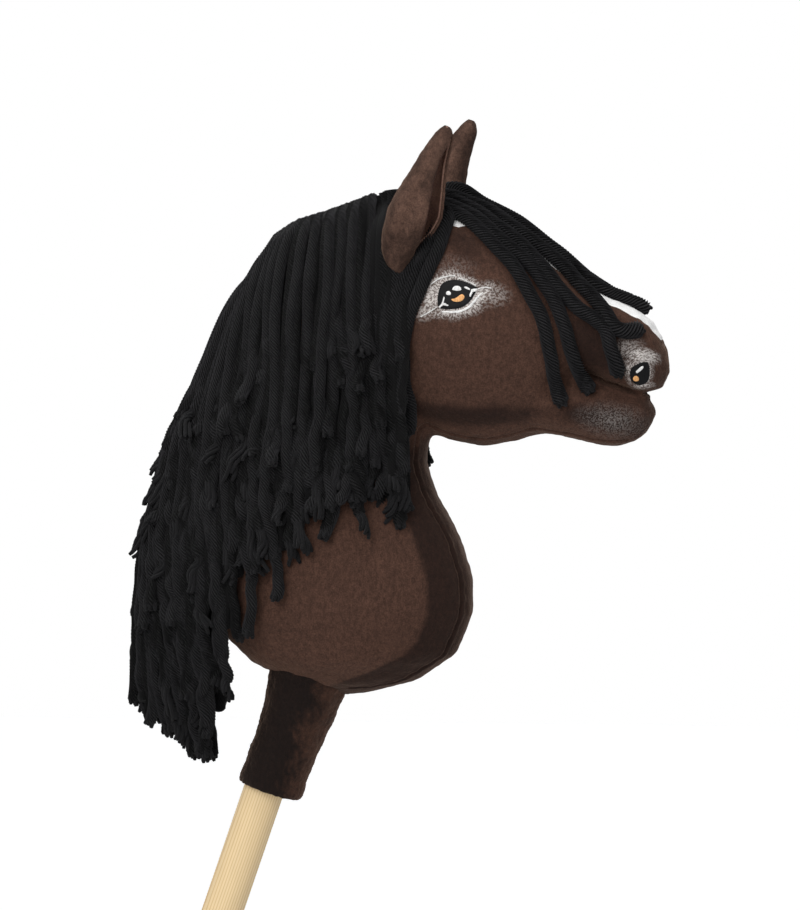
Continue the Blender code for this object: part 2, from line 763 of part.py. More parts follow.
def make_forelock(tape):
    """Locks that fall from the poll over the face and down the cheeks."""
    space = layer(CLEARANCE, CLEARANCE + FORELOCK_DEPTH)
    jaw = loft("jaw_space", JAW_RINGS, grow=CLEARANCE)
    ears = [ear_space(side) for end, side in SIDES]
    minus(space, tape, jaw, *ears)
    half_top = TOP_LOCK_WIDTH / 2
    top_room = prism(ribbon(TOP_LOCK_ROUTE, TOP_LOCK_ROOM), -half_top, half_top)
    show(within(copy_of(space), top_room), "forelock_top", YARN)
    discard(top_room, jaw, *ears)
    for end, side in SIDES:
        taken = []
        for index, route in enumerate(FORELOCK_ROUTES):
            room = prism(ribbon(route, FORELOCK_HALF_WIDTH), *beside(side, half_top + LOCK_GAP))
            minus(room, *taken)
            show(within(copy_of(space), room), "forelock_%s_%d" % (end, index + 1), YARN)
            taken.append(prism(ribbon(route, FORELOCK_HALF_WIDTH + LOCK_GAP), *beside(side, 0.0)))
            discard(room)
        room = prism(ribbon(CHEEK_ROUTE, FORELOCK_HALF_WIDTH), *beside(side, CHEEK_LOCK_INNER))
        minus(room, *taken)
        show(within(copy_of(space), room), "cheek_lock_" + end, YARN)
        discard(room, *taken)
    discard(space)


def main():
    """Build the whole toy."""
    clear_scene()
    make_stick()
    make_channel()
    bore = channel_space()
    make_stuffing(bore)
    make_covers(bore)
    make_cuff(bore)
    plush_space = body(CLEARANCE)
    make_ears(plush_space)
    make_painted_films()
    make_crest_tape()
    tape = tape_space()
    make_mane(plush_space, tape)
    make_forelock(tape)
    discard(bore, plush_space, tape)


main()
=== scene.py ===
"""Looks of the hobby horse: plush head and neck, painted eyes, yarn mane and a pine stick.

Lengths are in metres in the frame's axes: +X to the nose, +Y to the horse's left side, +Z up.
"""

import math
import random

import bpy
import numpy as np
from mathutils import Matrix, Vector, noise
from mathutils.bvhtree import BVHTree


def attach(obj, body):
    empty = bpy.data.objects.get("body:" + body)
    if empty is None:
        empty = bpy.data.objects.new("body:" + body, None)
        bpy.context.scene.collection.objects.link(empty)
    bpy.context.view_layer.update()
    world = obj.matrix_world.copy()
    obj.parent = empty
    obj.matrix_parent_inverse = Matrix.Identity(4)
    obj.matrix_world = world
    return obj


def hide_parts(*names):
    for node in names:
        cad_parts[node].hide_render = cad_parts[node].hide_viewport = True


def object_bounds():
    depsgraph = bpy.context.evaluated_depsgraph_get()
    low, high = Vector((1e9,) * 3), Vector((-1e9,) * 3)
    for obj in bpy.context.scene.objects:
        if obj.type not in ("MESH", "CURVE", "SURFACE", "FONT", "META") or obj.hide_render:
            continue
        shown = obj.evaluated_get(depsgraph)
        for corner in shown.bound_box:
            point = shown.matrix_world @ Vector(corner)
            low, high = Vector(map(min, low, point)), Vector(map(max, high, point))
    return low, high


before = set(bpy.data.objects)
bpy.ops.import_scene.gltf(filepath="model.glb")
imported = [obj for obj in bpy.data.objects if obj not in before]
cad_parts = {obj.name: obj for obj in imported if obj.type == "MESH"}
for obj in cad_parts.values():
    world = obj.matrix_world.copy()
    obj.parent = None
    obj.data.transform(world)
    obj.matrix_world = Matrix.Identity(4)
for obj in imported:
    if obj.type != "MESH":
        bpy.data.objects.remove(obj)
cad_box = [list(corner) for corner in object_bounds()]

# The photo's view: angles, size of a pixel on the horse, pixel of the hand grip, camera distance
VIEW_AZIMUTH = math.radians(9.5)
VIEW_ELEVATION = math.radians(3.5)
PIXEL = 0.00069
PHOTO_WIDTH = 800
PHOTO_HEIGHT = 910
HAND_PIXEL = (236.5, 870.0)
CAMERA_DISTANCE = 12.0
SENSOR = 36.0

# The stick and the sewn tube round it
STICK_LEAN = math.radians(19.0)
STICK_RADIUS = 0.014
STICK_BOTTOM = -0.460
STICK_TOP = 0.340
STICK_EDGE = 0.0022
TUBE_RADIUS = 0.0165
AXIS = Vector((math.sin(STICK_LEAN), 0.0, math.cos(STICK_LEAN)))
FRONT = Vector((math.cos(STICK_LEAN), 0.0, -math.sin(STICK_LEAN)))
SIDE = Vector((0.0, 1.0, 0.0))
SIDES = (("left", 1), ("right", -1))

# Plush: cloth thickness, half widths of strip and gussets along x, and the lines between them as (x, z)
PLUSH = 0.0016
PUFF_PRESSURE = 4.0
PUFF_CAP = 0.0018
PUFF_FRAMES = 20
STRIP_WIDTHS = (
    (0.143, 0.0255), (0.160, 0.0275), (0.174, 0.0230), (0.200, 0.0165), (0.230, 0.0150), (0.280, 0.0140),
    (0.292, 0.0090), (0.301, 0.0030),
)
GUSSET_HALF = 0.018
SEAM_WIDTH = 0.0012
SEAM_DEPTH = 0.0012
STRIP_START = 0.143
STRIP_END = 0.285
STRIP_EDGE = (
    (0.1428, 0.3816), (0.1613, 0.3787), (0.1835, 0.3744), (0.2047, 0.3701), (0.2238, 0.37),
    (0.2437, 0.3717), (0.2635, 0.3671), (0.2802, 0.3630), (0.305, 0.3722), (0.32, 0.379),
)
HEAD_MIDDLE = (
    (0.122, 0.384), (0.1285, 0.383), (0.1428, 0.3816), (0.1613, 0.3787), (0.1835, 0.3744),
    (0.2047, 0.3701), (0.2238, 0.37), (0.2437, 0.3717), (0.2635, 0.3671), (0.2802, 0.3597),
    (0.2929, 0.3545), (0.301, 0.3526),
)
NECK_MIDDLE = (
    (0.079, 0.1243), (0.0845, 0.1323), (0.083, 0.1483), (0.0729, 0.1785), (0.0687, 0.204),
    (0.063, 0.2295), (0.0559, 0.2595), (0.0533, 0.287), (0.062, 0.332),
)
GUSSET_FRONT = 0.235
JAW_MIDDLE = ((0.235, 0.327), (0.255, 0.325), (0.275, 0.320), (0.2945, 0.318))
JAW_GUSSET = ((0.235, 0.0180), (0.262, 0.0165), (0.280, 0.0120), (0.2945, 0.0060))

# The mouth: its line in the photo's pixels from the corner forward, and where the jaw is sewn on
MOUTH_PIXELS = ((579.0, 373.0), (588.6, 376.3), (600.0, 383.0), (624.0, 391.0), (643.4, 394.6), (664.0, 397.5))
MOUTH_DEPTH = 0.0085
MOUTH_WIDTHS = ((0.240, 0.0013), (0.268, 0.0016), (0.280, 0.0020), (0.296, 0.0024))
JAW_SEWN = ((581.0, 374.0), (547.0, 434.0))

# Where the stuffed form is eased to the photo's outline: middle (x, z), reach and shift (x, z)
EASED = (
    ((0.302, 0.360), 0.024, (-0.0044, 0.0)), ((0.293, 0.336), 0.011, (0.0, -0.0040)),
    ((0.297, 0.318), 0.017, (-0.0026, 0.0)), ((0.288, 0.322), 0.009, (0.0, 0.0020)),
    ((0.136, 0.272), 0.036, (-0.0040, 0.0)), ((0.168, 0.212), 0.030, (-0.0030, 0.0)),
)

# What the noise starts from; without it, its vectors start from the clock and the yarn's waves differ each run
NOISE_SEED = 7

# Yarn: radius, plies, length of one twist, spacing of a strand's points and of the strands
YARN_RADIUS = 0.0037
YARN_PLIES = 10
YARN_PITCH = 0.023
YARN_STEP = 0.0021
YARN_SPACING = 0.0068
PLACES_TRIED = 240
SHORT_STRANDS = 120

# How thick the yarn is laid, the shortest and longest stretch of it that is unravelled, and its loose plies
MANE_SWELL = 1.02
FORELOCK_SWELL = 1.42
MANE_OPENED = (-0.018, 0.036)
LOOSE_PLIES = 6
LOOSE_RADIUS = 0.38
LOOSE_WAVE = 0.0017
LOOSE_SHORTEST = 0.012
FRAYED_PLIES = 5
FRAYED_INSIDE = 0.0045
FRAYED_RADII = (0.44, 0.50, 0.50, 0.46, 0.30)

# Extra strands by place across the mane, 0 at the front and 1 at the back: at the crest, in the parting behind
# and in the tail. The far side starts a little further back and is shorter between two places
CREST_PLACES = (0.036, 0.074)
PARTING_PLACES = (0.94, 0.97, 1.0)
FAR_START = 0.06
FAR_SHORT = (0.40, 0.66, 0.80)
TAIL_PLACES = (0.615, 0.63, 0.645, 0.655, 0.67, 0.685, 0.70, 0.73, 0.77, 0.81, 0.86, 0.91, 0.96, 0.99)


# --- workshop ---

def put_down():
    """Select nothing."""
    bpy.ops.object.select_all(action="DESELECT")


def pick(piece):
    """Make one piece the one that is worked on."""
    put_down()
    piece.select_set(True)
    bpy.context.view_layer.objects.active = piece


def work(piece, kind, **settings):
    """Add a modifier to a piece and apply it."""
    pick(piece)
    modifier = piece.modifiers.new(kind.lower(), kind)
    for name, value in settings.items():
        setattr(modifier, name, value)
    bpy.ops.object.modifier_apply(modifier=modifier.name)
    return piece


def link(name, data):
    """A new object in the scene with its data."""
    piece = bpy.data.objects.new(name, data)
    bpy.context.scene.collection.objects.link(piece)
    return piece


def joined(parts):
    """Several pieces as one."""
    put_down()
    for part in parts:
        part.select_set(True)
    bpy.context.view_layer.objects.active = parts[0]
    if len(parts) > 1:
        bpy.ops.object.join()
    return parts[0]


def from_points(name, points, faces):
    """A mesh object from its points and faces."""
    mesh = bpy.data.meshes.new(name)
    mesh.from_pydata([tuple(point) for point in points], [], faces)
    mesh.update()
    return link(name, mesh)


def edit(piece):
    """Go into edit mode with all of a piece selected."""
    pick(piece)
    bpy.ops.object.mode_set(mode="EDIT")
    bpy.ops.mesh.select_all(action="SELECT")


def leave():
    """Back to object mode."""
    bpy.ops.object.mode_set(mode="OBJECT")


def merged_copy(name, *nodes):
    """One welded copy of CAD nodes, to be worked on."""
    piece = joined([link(node + "_copy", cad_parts[node].data.copy()) for node in nodes])
    edit(piece)
    bpy.ops.mesh.remove_doubles(threshold=0.00001)
    leave()
    piece.data.materials.clear()
    piece.name = name
    return piece


def rows_of(things, value):
    """One value of each point or face, as rows of three numbers."""
    rows = np.empty(len(things) * 3)
    things.foreach_get(value, rows)
    return rows.reshape(-1, 3)


def points_of(piece):
    """The places of a piece's points."""
    return rows_of(piece.data.vertices, "co")


def normals_of(piece):
    """The normals of a piece's points."""
    return rows_of(piece.data.vertex_normals, "vector")


def centres_of(piece):
    """The middles of a piece's faces."""
    return rows_of(piece.data.polygons, "center")


def move_points(piece, places):
    """Put a piece's points at new places."""
    piece.data.vertices.foreach_set("co", np.ascontiguousarray(places).ravel())
    piece.data.update()


def choose_faces(piece, chosen):
    """Go into edit mode with only the chosen faces selected."""
    edit(piece)
    bpy.context.tool_settings.mesh_select_mode = (False, False, True)
    bpy.ops.mesh.select_all(action="DESELECT")
    leave()
    piece.data.polygons.foreach_set("select", np.ascontiguousarray(chosen, dtype=bool))
    bpy.ops.object.mode_set(mode="EDIT")


def smooth(piece, angle=60.0):
    """Shade a piece smooth, with sharp edges above an angle."""
    pick(piece)
    bpy.ops.object.shade_smooth_by_angle(angle=math.radians(angle))
    return piece


def outward(piece):
    """Turn all faces of a piece out."""
    edit(piece)
    bpy.ops.mesh.normals_make_consistent(inside=False)
    leave()


def turn_over(piece):
    """Turn all faces of a piece the other way."""
    edit(piece)
    bpy.ops.mesh.flip_normals()
    leave()


def grid_faces(rows, wide, closed=False):
    """Faces between rows of points, each row a number of points wide; closed joins a row's ends."""
    faces = []
    for start in range(0, (rows - 1) * wide, wide):
        for column in range(wide if closed else wide - 1):
            after = (column + 1) % wide
            faces.append((start + column, start + after, start + wide + after, start + wide + column))
    return faces


def rod(radius, low, high, sides):
    """A round rod on the stick's axis between two heights along it."""
    bpy.ops.mesh.primitive_cylinder_add(vertices=sides, radius=radius, depth=high - low,
                                        location=AXIS * ((low + high) / 2), rotation=(0.0, STICK_LEAN, 0.0))
    return bpy.context.view_layer.objects.active


def softened(share):
    """A share from 0 to 1 with a soft start and end."""
    share = min(1.0, max(0.0, share))
    return share * share * (3.0 - 2.0 * share)


def ease(value, low, high):
    """0 below low, 1 above high and a soft change between."""
    return softened((value - low) / (high - low))


def curve_through(points, parts, closed=False):
    """A smooth curve through points, with a number of parts between each two."""
    known = [Vector(point) for point in points]
    if closed:
        known = known[-1:] + known + known[:2]
    else:
        known = [2 * known[0] - known[1]] + known + [2 * known[-1] - known[-2]]
    line = []
    for before, start, end, after in zip(known, known[1:], known[2:], known[3:]):
        for index in range(parts):
            t = index / parts
            line.append(0.5 * (2 * start + (end - before) * t
                               + (2 * before - 5 * start + 4 * end - after) * t ** 2
                               + (3 * start - before - 3 * end + after) * t ** 3))
    return line if closed else line + [known[-2]]


def dress(piece, name, body, slot, *materials):
    """Name a finished piece, give it its materials and its body."""
    piece.name = name
    piece.data.name = name
    if materials:
        piece.data.materials.clear()
        for entry in materials:
            piece.data.materials.append(entry)
    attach(piece, body)
    return piece


def tree_of(*pieces):
    """One searchable surface of several pieces."""
    points, faces = [], []
    for piece in pieces:
        start = len(points)
        points.extend(vertex.co.copy() for vertex in piece.data.vertices)
        faces.extend([index + start for index in face.vertices] for face in piece.data.polygons)
    return BVHTree.FromPolygons(points, faces)


# --- the photo's view ---

def view_axes():
    """Right, up and back directions of the photo's camera."""
    a, e = VIEW_AZIMUTH, VIEW_ELEVATION
    back = Vector((math.sin(a) * math.cos(e), -math.cos(a) * math.cos(e), math.sin(e)))
    right = Vector((math.cos(a), math.sin(a), 0.0))
    return right, back.cross(right), back


def pixel_place(u, v):
    """The point in the plane through the origin that a pixel shows."""
    right, up, back = view_axes()
    return right * ((u - HAND_PIXEL[0]) * PIXEL) + up * ((HAND_PIXEL[1] - v) * PIXEL)


def pixel_at_depth(u, v, y):
    """The point with a given y that a pixel shows, seen from far away."""
    place = pixel_place(u, v)
    back = view_axes()[2]
    return place + back * ((y - place.y) / back.y)


def pixels_of(places):
    """The pixels where points on either side would show if they were on the near side."""
    right, up, back = view_axes()
    near = places * np.array((1.0, 0.0, 1.0)) - np.abs(places) * np.array((0.0, 1.0, 0.0))
    u = HAND_PIXEL[0] + near @ np.array(right) / PIXEL
    v = HAND_PIXEL[1] - near @ np.array(up) / PIXEL
    return u, v


def camera_place():
    """Where the camera stands."""
    return pixel_place(PHOTO_WIDTH / 2, PHOTO_HEIGHT / 2) + view_axes()[2] * CAMERA_DISTANCE


def seen_at(tree, u, v):
    """The point of a surface that a pixel of the photo shows."""
    start = camera_place()
    place, normal, index, distance = tree.ray_cast(start, (pixel_place(u, v) - start).normalized())
    return place


def make_camera():
    """A long lens at the photo's viewing angle."""
    data = bpy.data.cameras.new("camera")
    data.sensor_fit = "HORIZONTAL"
    data.sensor_width = SENSOR
    data.lens = SENSOR * CAMERA_DISTANCE / (PHOTO_WIDTH * PIXEL)
    data.clip_start = 0.1
    data.clip_end = 50.0
    camera = link("camera", data)
    camera.location = camera_place()
    camera.rotation_mode = "QUATERNION"
    camera.rotation_quaternion = (-view_axes()[2]).to_track_quat("-Z", "Y")
    bpy.context.scene.camera = camera


# --- materials ---

def new_material(name, **settings):
    """A Principled material and its nodes; settings are values of its sockets."""
    made = bpy.data.materials.new(name)
    made.use_nodes = True
    shader = made.node_tree.nodes["Principled BSDF"]
    for socket, value in settings.items():
        shader.inputs[socket.replace("_", " ")].default_value = value
    return made, made.node_tree


def finished(made, tone, height, distance, strength):
    """Feed a material's colour and its bump, from a height between 0 and 1."""
    tree = made.node_tree
    shader = tree.nodes["Principled BSDF"]
    bump = step(tree, "Bump", strength, distance)
    tree.links.new(height, bump.inputs["Height"])
    tree.links.new(bump.outputs[0], shader.inputs["Normal"])
    tree.links.new(tone, shader.inputs["Base Color"])
    return made


def feed(tree, socket, value):
    """Give a socket a value, or link it to another node's output."""
    if isinstance(value, bpy.types.NodeSocket):
        tree.links.new(value, socket)
    else:
        socket.default_value = value


def step(tree, kind, *inputs, **settings):
    """A node with its inputs in order."""
    made = tree.nodes.new("ShaderNode" + kind)
    for name, value in settings.items():
        setattr(made, name, value)
    for socket, value in zip(made.inputs, inputs):
        feed(tree, socket, value)
    return made


def sums(tree, operation, first, second=0.5, third=0.0):
    """One arithmetic step on shader values."""
    return step(tree, "Math", first, second, third, operation=operation).outputs[0]


def times(tree, first, second):
    """One shader value times another."""
    return sums(tree, "MULTIPLY", first, second)


def plus(tree, first, second):
    """One shader value plus another."""
    return sums(tree, "ADD", first, second)


def scaled(tree, value, factor, extra):
    """A shader value times a factor, plus something extra."""
    return sums(tree, "MULTIPLY_ADD", value, factor, extra)


def between(tree, value, low, high):
    """0 below low, 1 above high and a soft change between."""
    made = step(tree, "MapRange", value, low, high, 0.0, 1.0, interpolation_type="SMOOTHSTEP")
    return made.outputs[0]


def mixed(tree, share, first, second):
    """A colour between two colours."""
    made = step(tree, "Mix", data_type="RGBA")
    for index, value in ((0, share), (6, first), (7, second)):
        feed(tree, made.inputs[index], value)
    return made.outputs[2]


def cloudy(tree, where, scale, detail, rough):
    """Noise at a scale."""
    made = step(tree, "TexNoise")
    for socket, value in (("Vector", where), ("Scale", scale), ("Detail", detail), ("Roughness", rough)):
        feed(tree, made.inputs[socket], value)
    return made.outputs[0]


def grain(tree, where, scale, detail, rough, stretch=(1.0, 1.0, 1.0)):
    """Noise at a scale per metre, drawn out along the axes by stretch."""
    mapped = step(tree, "Mapping", where, (0.0, 0.0, 0.0), (0.0, 0.0, 0.0), stretch)
    return cloudy(tree, mapped.outputs[0], scale, detail, rough)


def brighter(tree, tone, share):
    """A colour made brighter or darker."""
    return step(tree, "HueSaturation", 0.5, 1.0, share, 1.0, tone).outputs[0]


def along_stick(tree):
    """Places on the object, turned so that z runs along the stick."""
    where = step(tree, "TexCoord").outputs["Object"]
    return step(tree, "Mapping", where, (0.0, 0.0, 0.0), (0.0, -STICK_LEAN, 0.0), (1.0, 1.0, 1.0)).outputs[0]


# The photo's line between lit and shaded pile: pixel u by pixel v down the neck, and v by u under the cheek
# Painted light and shade: pile inside this line is painted in the lit tone, beyond it in the shaded tone
PAINTED_LIGHT_EDGE = ((448, 392), (480, 396), (500, 400), (530, 411), (560, 421), (590, 427), (615, 427), (640, 417),
            (655, 402), (668, 376), (680, 345), (690, 320))
PAINTED_LIGHT_BOTTOM = 700
PAINTED_LIGHT_SOFT = 17.0
CHEEK_EDGE = ((410, 398), (440, 405), (480, 408), (520, 405), (560, 402), (590, 408), (640, 420))
# Painted shade in a band under the cheek: its darkness by pixel u
CHEEK_SHADE_BAND = ((405, 0.55), (430, 0.95), (500, 0.80), (545, 0.45), (575, 0.85), (620, 0.55), (650, 0.30))

# Brushed silver: middle pixel, half sizes, tilt, strength, and how much of the spot is full
SILVER = (
    ((434.0, 296.0), (13.0, 20.0), 24.0, 0.86, 0.35),
    ((443.0, 281.0), (17.0, 8.0), -28.0, 0.80, 0.35),
    ((462.0, 280.5), (22.0, 5.0), 20.0, 0.72, 0.40),
    ((472.0, 302.0), (26.0, 8.5), -38.0, 1.00, 0.45),
    ((455.0, 311.5), (27.0, 7.5), -6.0, 0.86, 0.35),
    ((486.0, 295.0), (22.0, 12.0), 8.0, 0.50, 0.15),
    ((428.0, 311.0), (15.0, 9.0), -28.0, 0.66, 0.20),
    ((455.0, 268.0), (22.0, 11.0), 10.0, 0.10, 0.10),
    ((642.0, 357.0), (16.0, 8.0), 12.0, 1.00, 0.45),
    ((628.0, 350.0), (15.0, 12.0), -20.0, 0.40, 0.20),
    ((628.0, 371.0), (6.0, 14.0), -8.0, 0.62, 0.35),
    ((641.0, 386.0), (12.0, 4.0), -4.0, 0.66, 0.40),
    ((639.0, 373.0), (11.8, 13.2), 12.0, 0.72, 0.70),
    ((612.0, 421.0), (36.0, 17.0), 8.0, 0.18, 0.10),
)

# Painted shade on the pile, such as between the strands over the muzzle and on the forehead, in the same way
PAINTED_SHADE_SPOTS = (
    ((597.0, 345.0), (46.0, 36.0), 35.0, 0.92, 0.35),
    ((545.0, 300.0), (46.0, 26.0), 55.0, 0.45, 0.30),
    ((466.0, 247.0), (40.0, 20.0), 35.0, 0.60, 0.30),
    ((640.0, 372.0), (26.0, 30.0), 0.0, 0.45, 0.30),
    ((612.0, 420.0), (46.0, 24.0), 5.0, 0.62, 0.30),
)

# Where the brushed hairs run out from, by the photo's pixels, and the tone of the silver
EYE_MIDDLE = (457.0, 295.0)
NOSTRIL_MIDDLE = (638.0, 374.0)
SILVER_TONE = (0.60, 0.56, 0.53, 1.0)


def streaks(tree, where, pixel, turns, reach):
    """Fine hairs that run out from the point under a pixel, and the distance from it."""
    middle = pixel_at_depth(*pixel, -0.045)
    moved = step(tree, "Mapping", where, (-middle.x, 0.0, -middle.z))
    split = step(tree, "SeparateXYZ", moved.outputs[0])
    angle = sums(tree, "ARCTAN2", split.outputs[2], split.outputs[0])
    flat = step(tree, "CombineXYZ", split.outputs[0], 0.0, split.outputs[2])
    radius = step(tree, "VectorMath", flat.outputs[0], operation="LENGTH").outputs[1]
    polar = step(tree, "CombineXYZ", times(tree, angle, turns), times(tree, radius, reach), 0.0)
    return cloudy(tree, polar.outputs[0], 1.0, 2.0, 0.55), radius


def brushed(tree, where, pile, tinted):
    """Silver brushed on the plush: hairs round the eyes and nostrils, plain pile on the chin."""
    silver = step(tree, "Attribute", attribute_name="silver").outputs["Fac"]
    eye_hairs, eye_reach = streaks(tree, where, EYE_MIDDLE, 15.0, 420.0)
    nose_hairs, nose_reach = streaks(tree, where, NOSTRIL_MIDDLE, 5.0, 1100.0)
    at_eye = sums(tree, "LESS_THAN", eye_reach, 0.055)
    at_chin = between(tree, nose_reach, 0.019, 0.026)
    chin = plus(tree, times(tree, nose_hairs, sums(tree, "SUBTRACT", 1.0, at_chin)), times(tree, pile, at_chin))
    hairs = plus(tree, times(tree, eye_hairs, at_eye), times(tree, chin, sums(tree, "SUBTRACT", 1.0, at_eye)))
    hairs = plus(tree, times(tree, hairs, 0.60), times(tree, pile, 0.40))
    drawn = scaled(tree, between(tree, hairs, 0.455, 0.55), 1.10, 0.02)
    cover = times(tree, silver, scaled(tree, silver, 0.32, drawn))
    return mixed(tree, sums(tree, "MINIMUM", cover, 0.96), tinted, SILVER_TONE)


def make_plush(name, lit, shaded, use):
    """Short dark plush: lit and shaded tones, mixed as painted light and shade partly following the lie of the pile,
    and fine pile.

    Use is "head" for the painted light and shade and the silver marked on the head, "cuff" for a front edge painted
    lighter as if lit, or "ear" for faces turned to either side painted lighter.
    """
    made, tree = new_material(name, Roughness=0.92, Sheen_Weight=0.30, Sheen_Roughness=0.35,
                              Sheen_Tint=(0.62, 0.38, 0.26, 1.0), Specular_IOR_Level=0.18)
    coordinates = step(tree, "TexCoord")
    where = coordinates.outputs["Object"]
    patches = grain(tree, where, 26.0 if use == "head" else 44.0, 4.0, 0.62)
    blots = grain(tree, where, 90.0, 3.0, 0.6)
    if use == "head":
        # Painted light and shade: the stored share picks between the lit and shaded tones
        nap = step(tree, "Attribute", attribute_name="nap").outputs["Fac"]
        tone = between(tree, scaled(tree, patches, 0.90, plus(tree, nap, -0.45)), 0.15, 0.90)
    else:
        # Painted light: on the cuff, faces turned ahead are painted lighter; on the ears, faces turned to either side
        # are
        ahead, aside = step(tree, "SeparateXYZ", coordinates.outputs["Normal"]).outputs[:2]
        if use == "cuff":
            tone = between(tree, scaled(tree, patches, 1.7, times(tree, ahead, 0.9)), 0.92, 1.74)
        else:
            tone = between(tree, scaled(tree, patches, 2.4, sums(tree, "ABSOLUTE", aside)), 1.62, 2.35)
    pile = grain(tree, where, 950.0, 2.0, 0.75)
    crushed = grain(tree, where, 400.0, 3.0, 0.65, (1.0, 1.0, 0.6))
    dim = times(tree, scaled(tree, blots, 0.34, 0.83), scaled(tree, crushed, 1.50, 0.25))
    speck = times(tree, dim, scaled(tree, pile, 1.60, 0.20))
    tinted = brighter(tree, mixed(tree, tone, shaded, lit), speck)
    if use == "head":
        tinted = brushed(tree, where, pile, tinted)
    return finished(made, tinted, plus(tree, times(tree, pile, 0.6), times(tree, crushed, 0.7)), 0.0009, 0.75)


def make_fabric(name, pale, dark, scale, distance):
    """Plain cloth or fibre: two tones in fine noise with a bump."""
    made, tree = new_material(name, Roughness=0.9, Specular_IOR_Level=0.2)
    where = step(tree, "TexCoord").outputs["Object"]
    fine = grain(tree, where, scale, 3.0, 0.6)
    wide = grain(tree, where, scale / 12.0, 2.0, 0.5)
    share = plus(tree, times(tree, fine, 0.6), times(tree, wide, 0.4))
    return finished(made, mixed(tree, between(tree, share, 0.35, 0.65), dark, pale), fine, distance, 0.5)


def make_woven(name, pale, dark, threads):
    """Plain weave: crossing threads at a number per metre."""
    made, tree = new_material(name, Roughness=0.88)
    split = step(tree, "SeparateXYZ", along_stick(tree))
    across, aside, along = (sums(tree, "SINE", times(tree, output, threads * math.tau)) for output in split.outputs)
    share = between(tree, times(tree, plus(tree, across, aside), along), -1.2, 1.2)
    return finished(made, mixed(tree, share, dark, pale), share, 0.0003, 0.6)


def make_pine():
    """Sanded pale pine: straight growth lines along the stick and a few short rays."""
    made, tree = new_material("sanded_pine", Roughness=0.52, Specular_IOR_Level=0.35)
    turned = along_stick(tree)
    drift = grain(tree, turned, 9.0, 1.0, 0.4, (1.0, 1.0, 0.16))
    split = step(tree, "SeparateXYZ", turned)
    across = plus(tree, split.outputs[0], times(tree, split.outputs[1], 0.35))
    bent = plus(tree, across, times(tree, drift, 0.010))
    late = between(tree, sums(tree, "SINE", times(tree, bent, math.tau * 520.0)), 0.15, 0.98)
    fibre = grain(tree, turned, 900.0, 2.0, 0.6, (1.0, 1.0, 0.03))
    base = mixed(tree, times(tree, late, 0.62), (0.80, 0.61, 0.355, 1.0), (0.60, 0.385, 0.165, 1.0))
    tone = brighter(tree, base, scaled(tree, fibre, 0.16, 0.92))
    return finished(made, tone, plus(tree, fibre, times(tree, late, 0.5)), 0.00012, 0.5)


def make_yarn(name, dark, pale):
    """Black soft-spun yarn: painted shade in the gaps between the plies, fine threads along them painted lighter where
    they rise, a little fuzz.
    """
    made, tree = new_material(name, Roughness=0.85, Sheen_Weight=0.03, Sheen_Roughness=0.5, Specular_IOR_Level=0.12)
    coordinates = step(tree, "TexCoord")
    split = step(tree, "SeparateXYZ", coordinates.outputs["UV"])
    along, around = split.outputs[0], split.outputs[1]
    # Painted shade: the gaps between the plies are darker
    ply = sums(tree, "ABSOLUTE", sums(tree, "COSINE", times(tree, around, math.pi * YARN_PLIES)))
    lean = plus(tree, times(tree, around, math.tau * 15.0), times(tree, along, 90.0))
    threads = scaled(tree, sums(tree, "SINE", lean), 0.5, 0.5)
    fuzz = grain(tree, coordinates.outputs["Object"], 1500.0, 2.0, 0.7)
    wear = grain(tree, coordinates.outputs["Object"], 45.0, 3.0, 0.6)
    height = plus(tree, times(tree, threads, 0.45), times(tree, fuzz, 0.8))
    # Colour from the wear tone, with the raised threads and fuzz painted lighter and the gaps between the plies painted
    # darker
    share = scaled(tree, wear, 0.7, scaled(tree, height, 0.7, ply))
    return finished(made, mixed(tree, between(tree, share, 0.95, 1.95), dark, pale), height, 0.0006, 0.8)


def make_paint(name, tone, roughness):
    """A film of paint with brush marks."""
    made, tree = new_material(name, Roughness=roughness, Specular_IOR_Level=0.12)
    marks = grain(tree, step(tree, "TexCoord").outputs["Object"], 900.0, 2.0, 0.6, (1.0, 1.0, 0.4))
    dim = tuple(0.78 * part for part in tone) + (1.0,)
    return finished(made, mixed(tree, between(tree, marks, 0.35, 0.65), dim, tone + (1.0,)), marks, 0.0003, 0.35)


# Each plush has a lit and a shaded tone, mixed by painted light and shade
PLUSH_HEAD = make_plush("dark_plush_head", (0.0595, 0.0290, 0.0195, 1.0), (0.0185, 0.0085, 0.0058, 1.0), "head")
CUFF_PLUSH = make_plush("dark_plush_cuff", (0.0480, 0.0225, 0.0145, 1.0), (0.0075, 0.0038, 0.0028, 1.0), "cuff")
EAR_PLUSH = make_plush("dark_plush_ear", (0.088, 0.048, 0.034, 1.0), (0.036, 0.019, 0.0135, 1.0), "ear")
WHITE_PLUSH = make_fabric("white_plush_strip", (0.90, 0.89, 0.875, 1.0), (0.72, 0.71, 0.695, 1.0), 1200.0, 0.0006)
EAR_LINING = make_fabric("ear_lining_plush", (0.310, 0.176, 0.130, 1.0), (0.160, 0.090, 0.067, 1.0), 900.0, 0.0006)
FILLING = make_fabric("filling_fibre", (0.80, 0.79, 0.75, 1.0), (0.62, 0.61, 0.57, 1.0), 400.0, 0.002)
TUBE_COTTON = make_woven("tube_cotton", (0.58, 0.55, 0.48, 1.0), (0.36, 0.34, 0.29, 1.0), 900.0)
TAPE_CLOTH = make_woven("tape_cloth", (0.022, 0.022, 0.024, 1.0), (0.008, 0.008, 0.009, 1.0), 800.0)
PINE = make_pine()
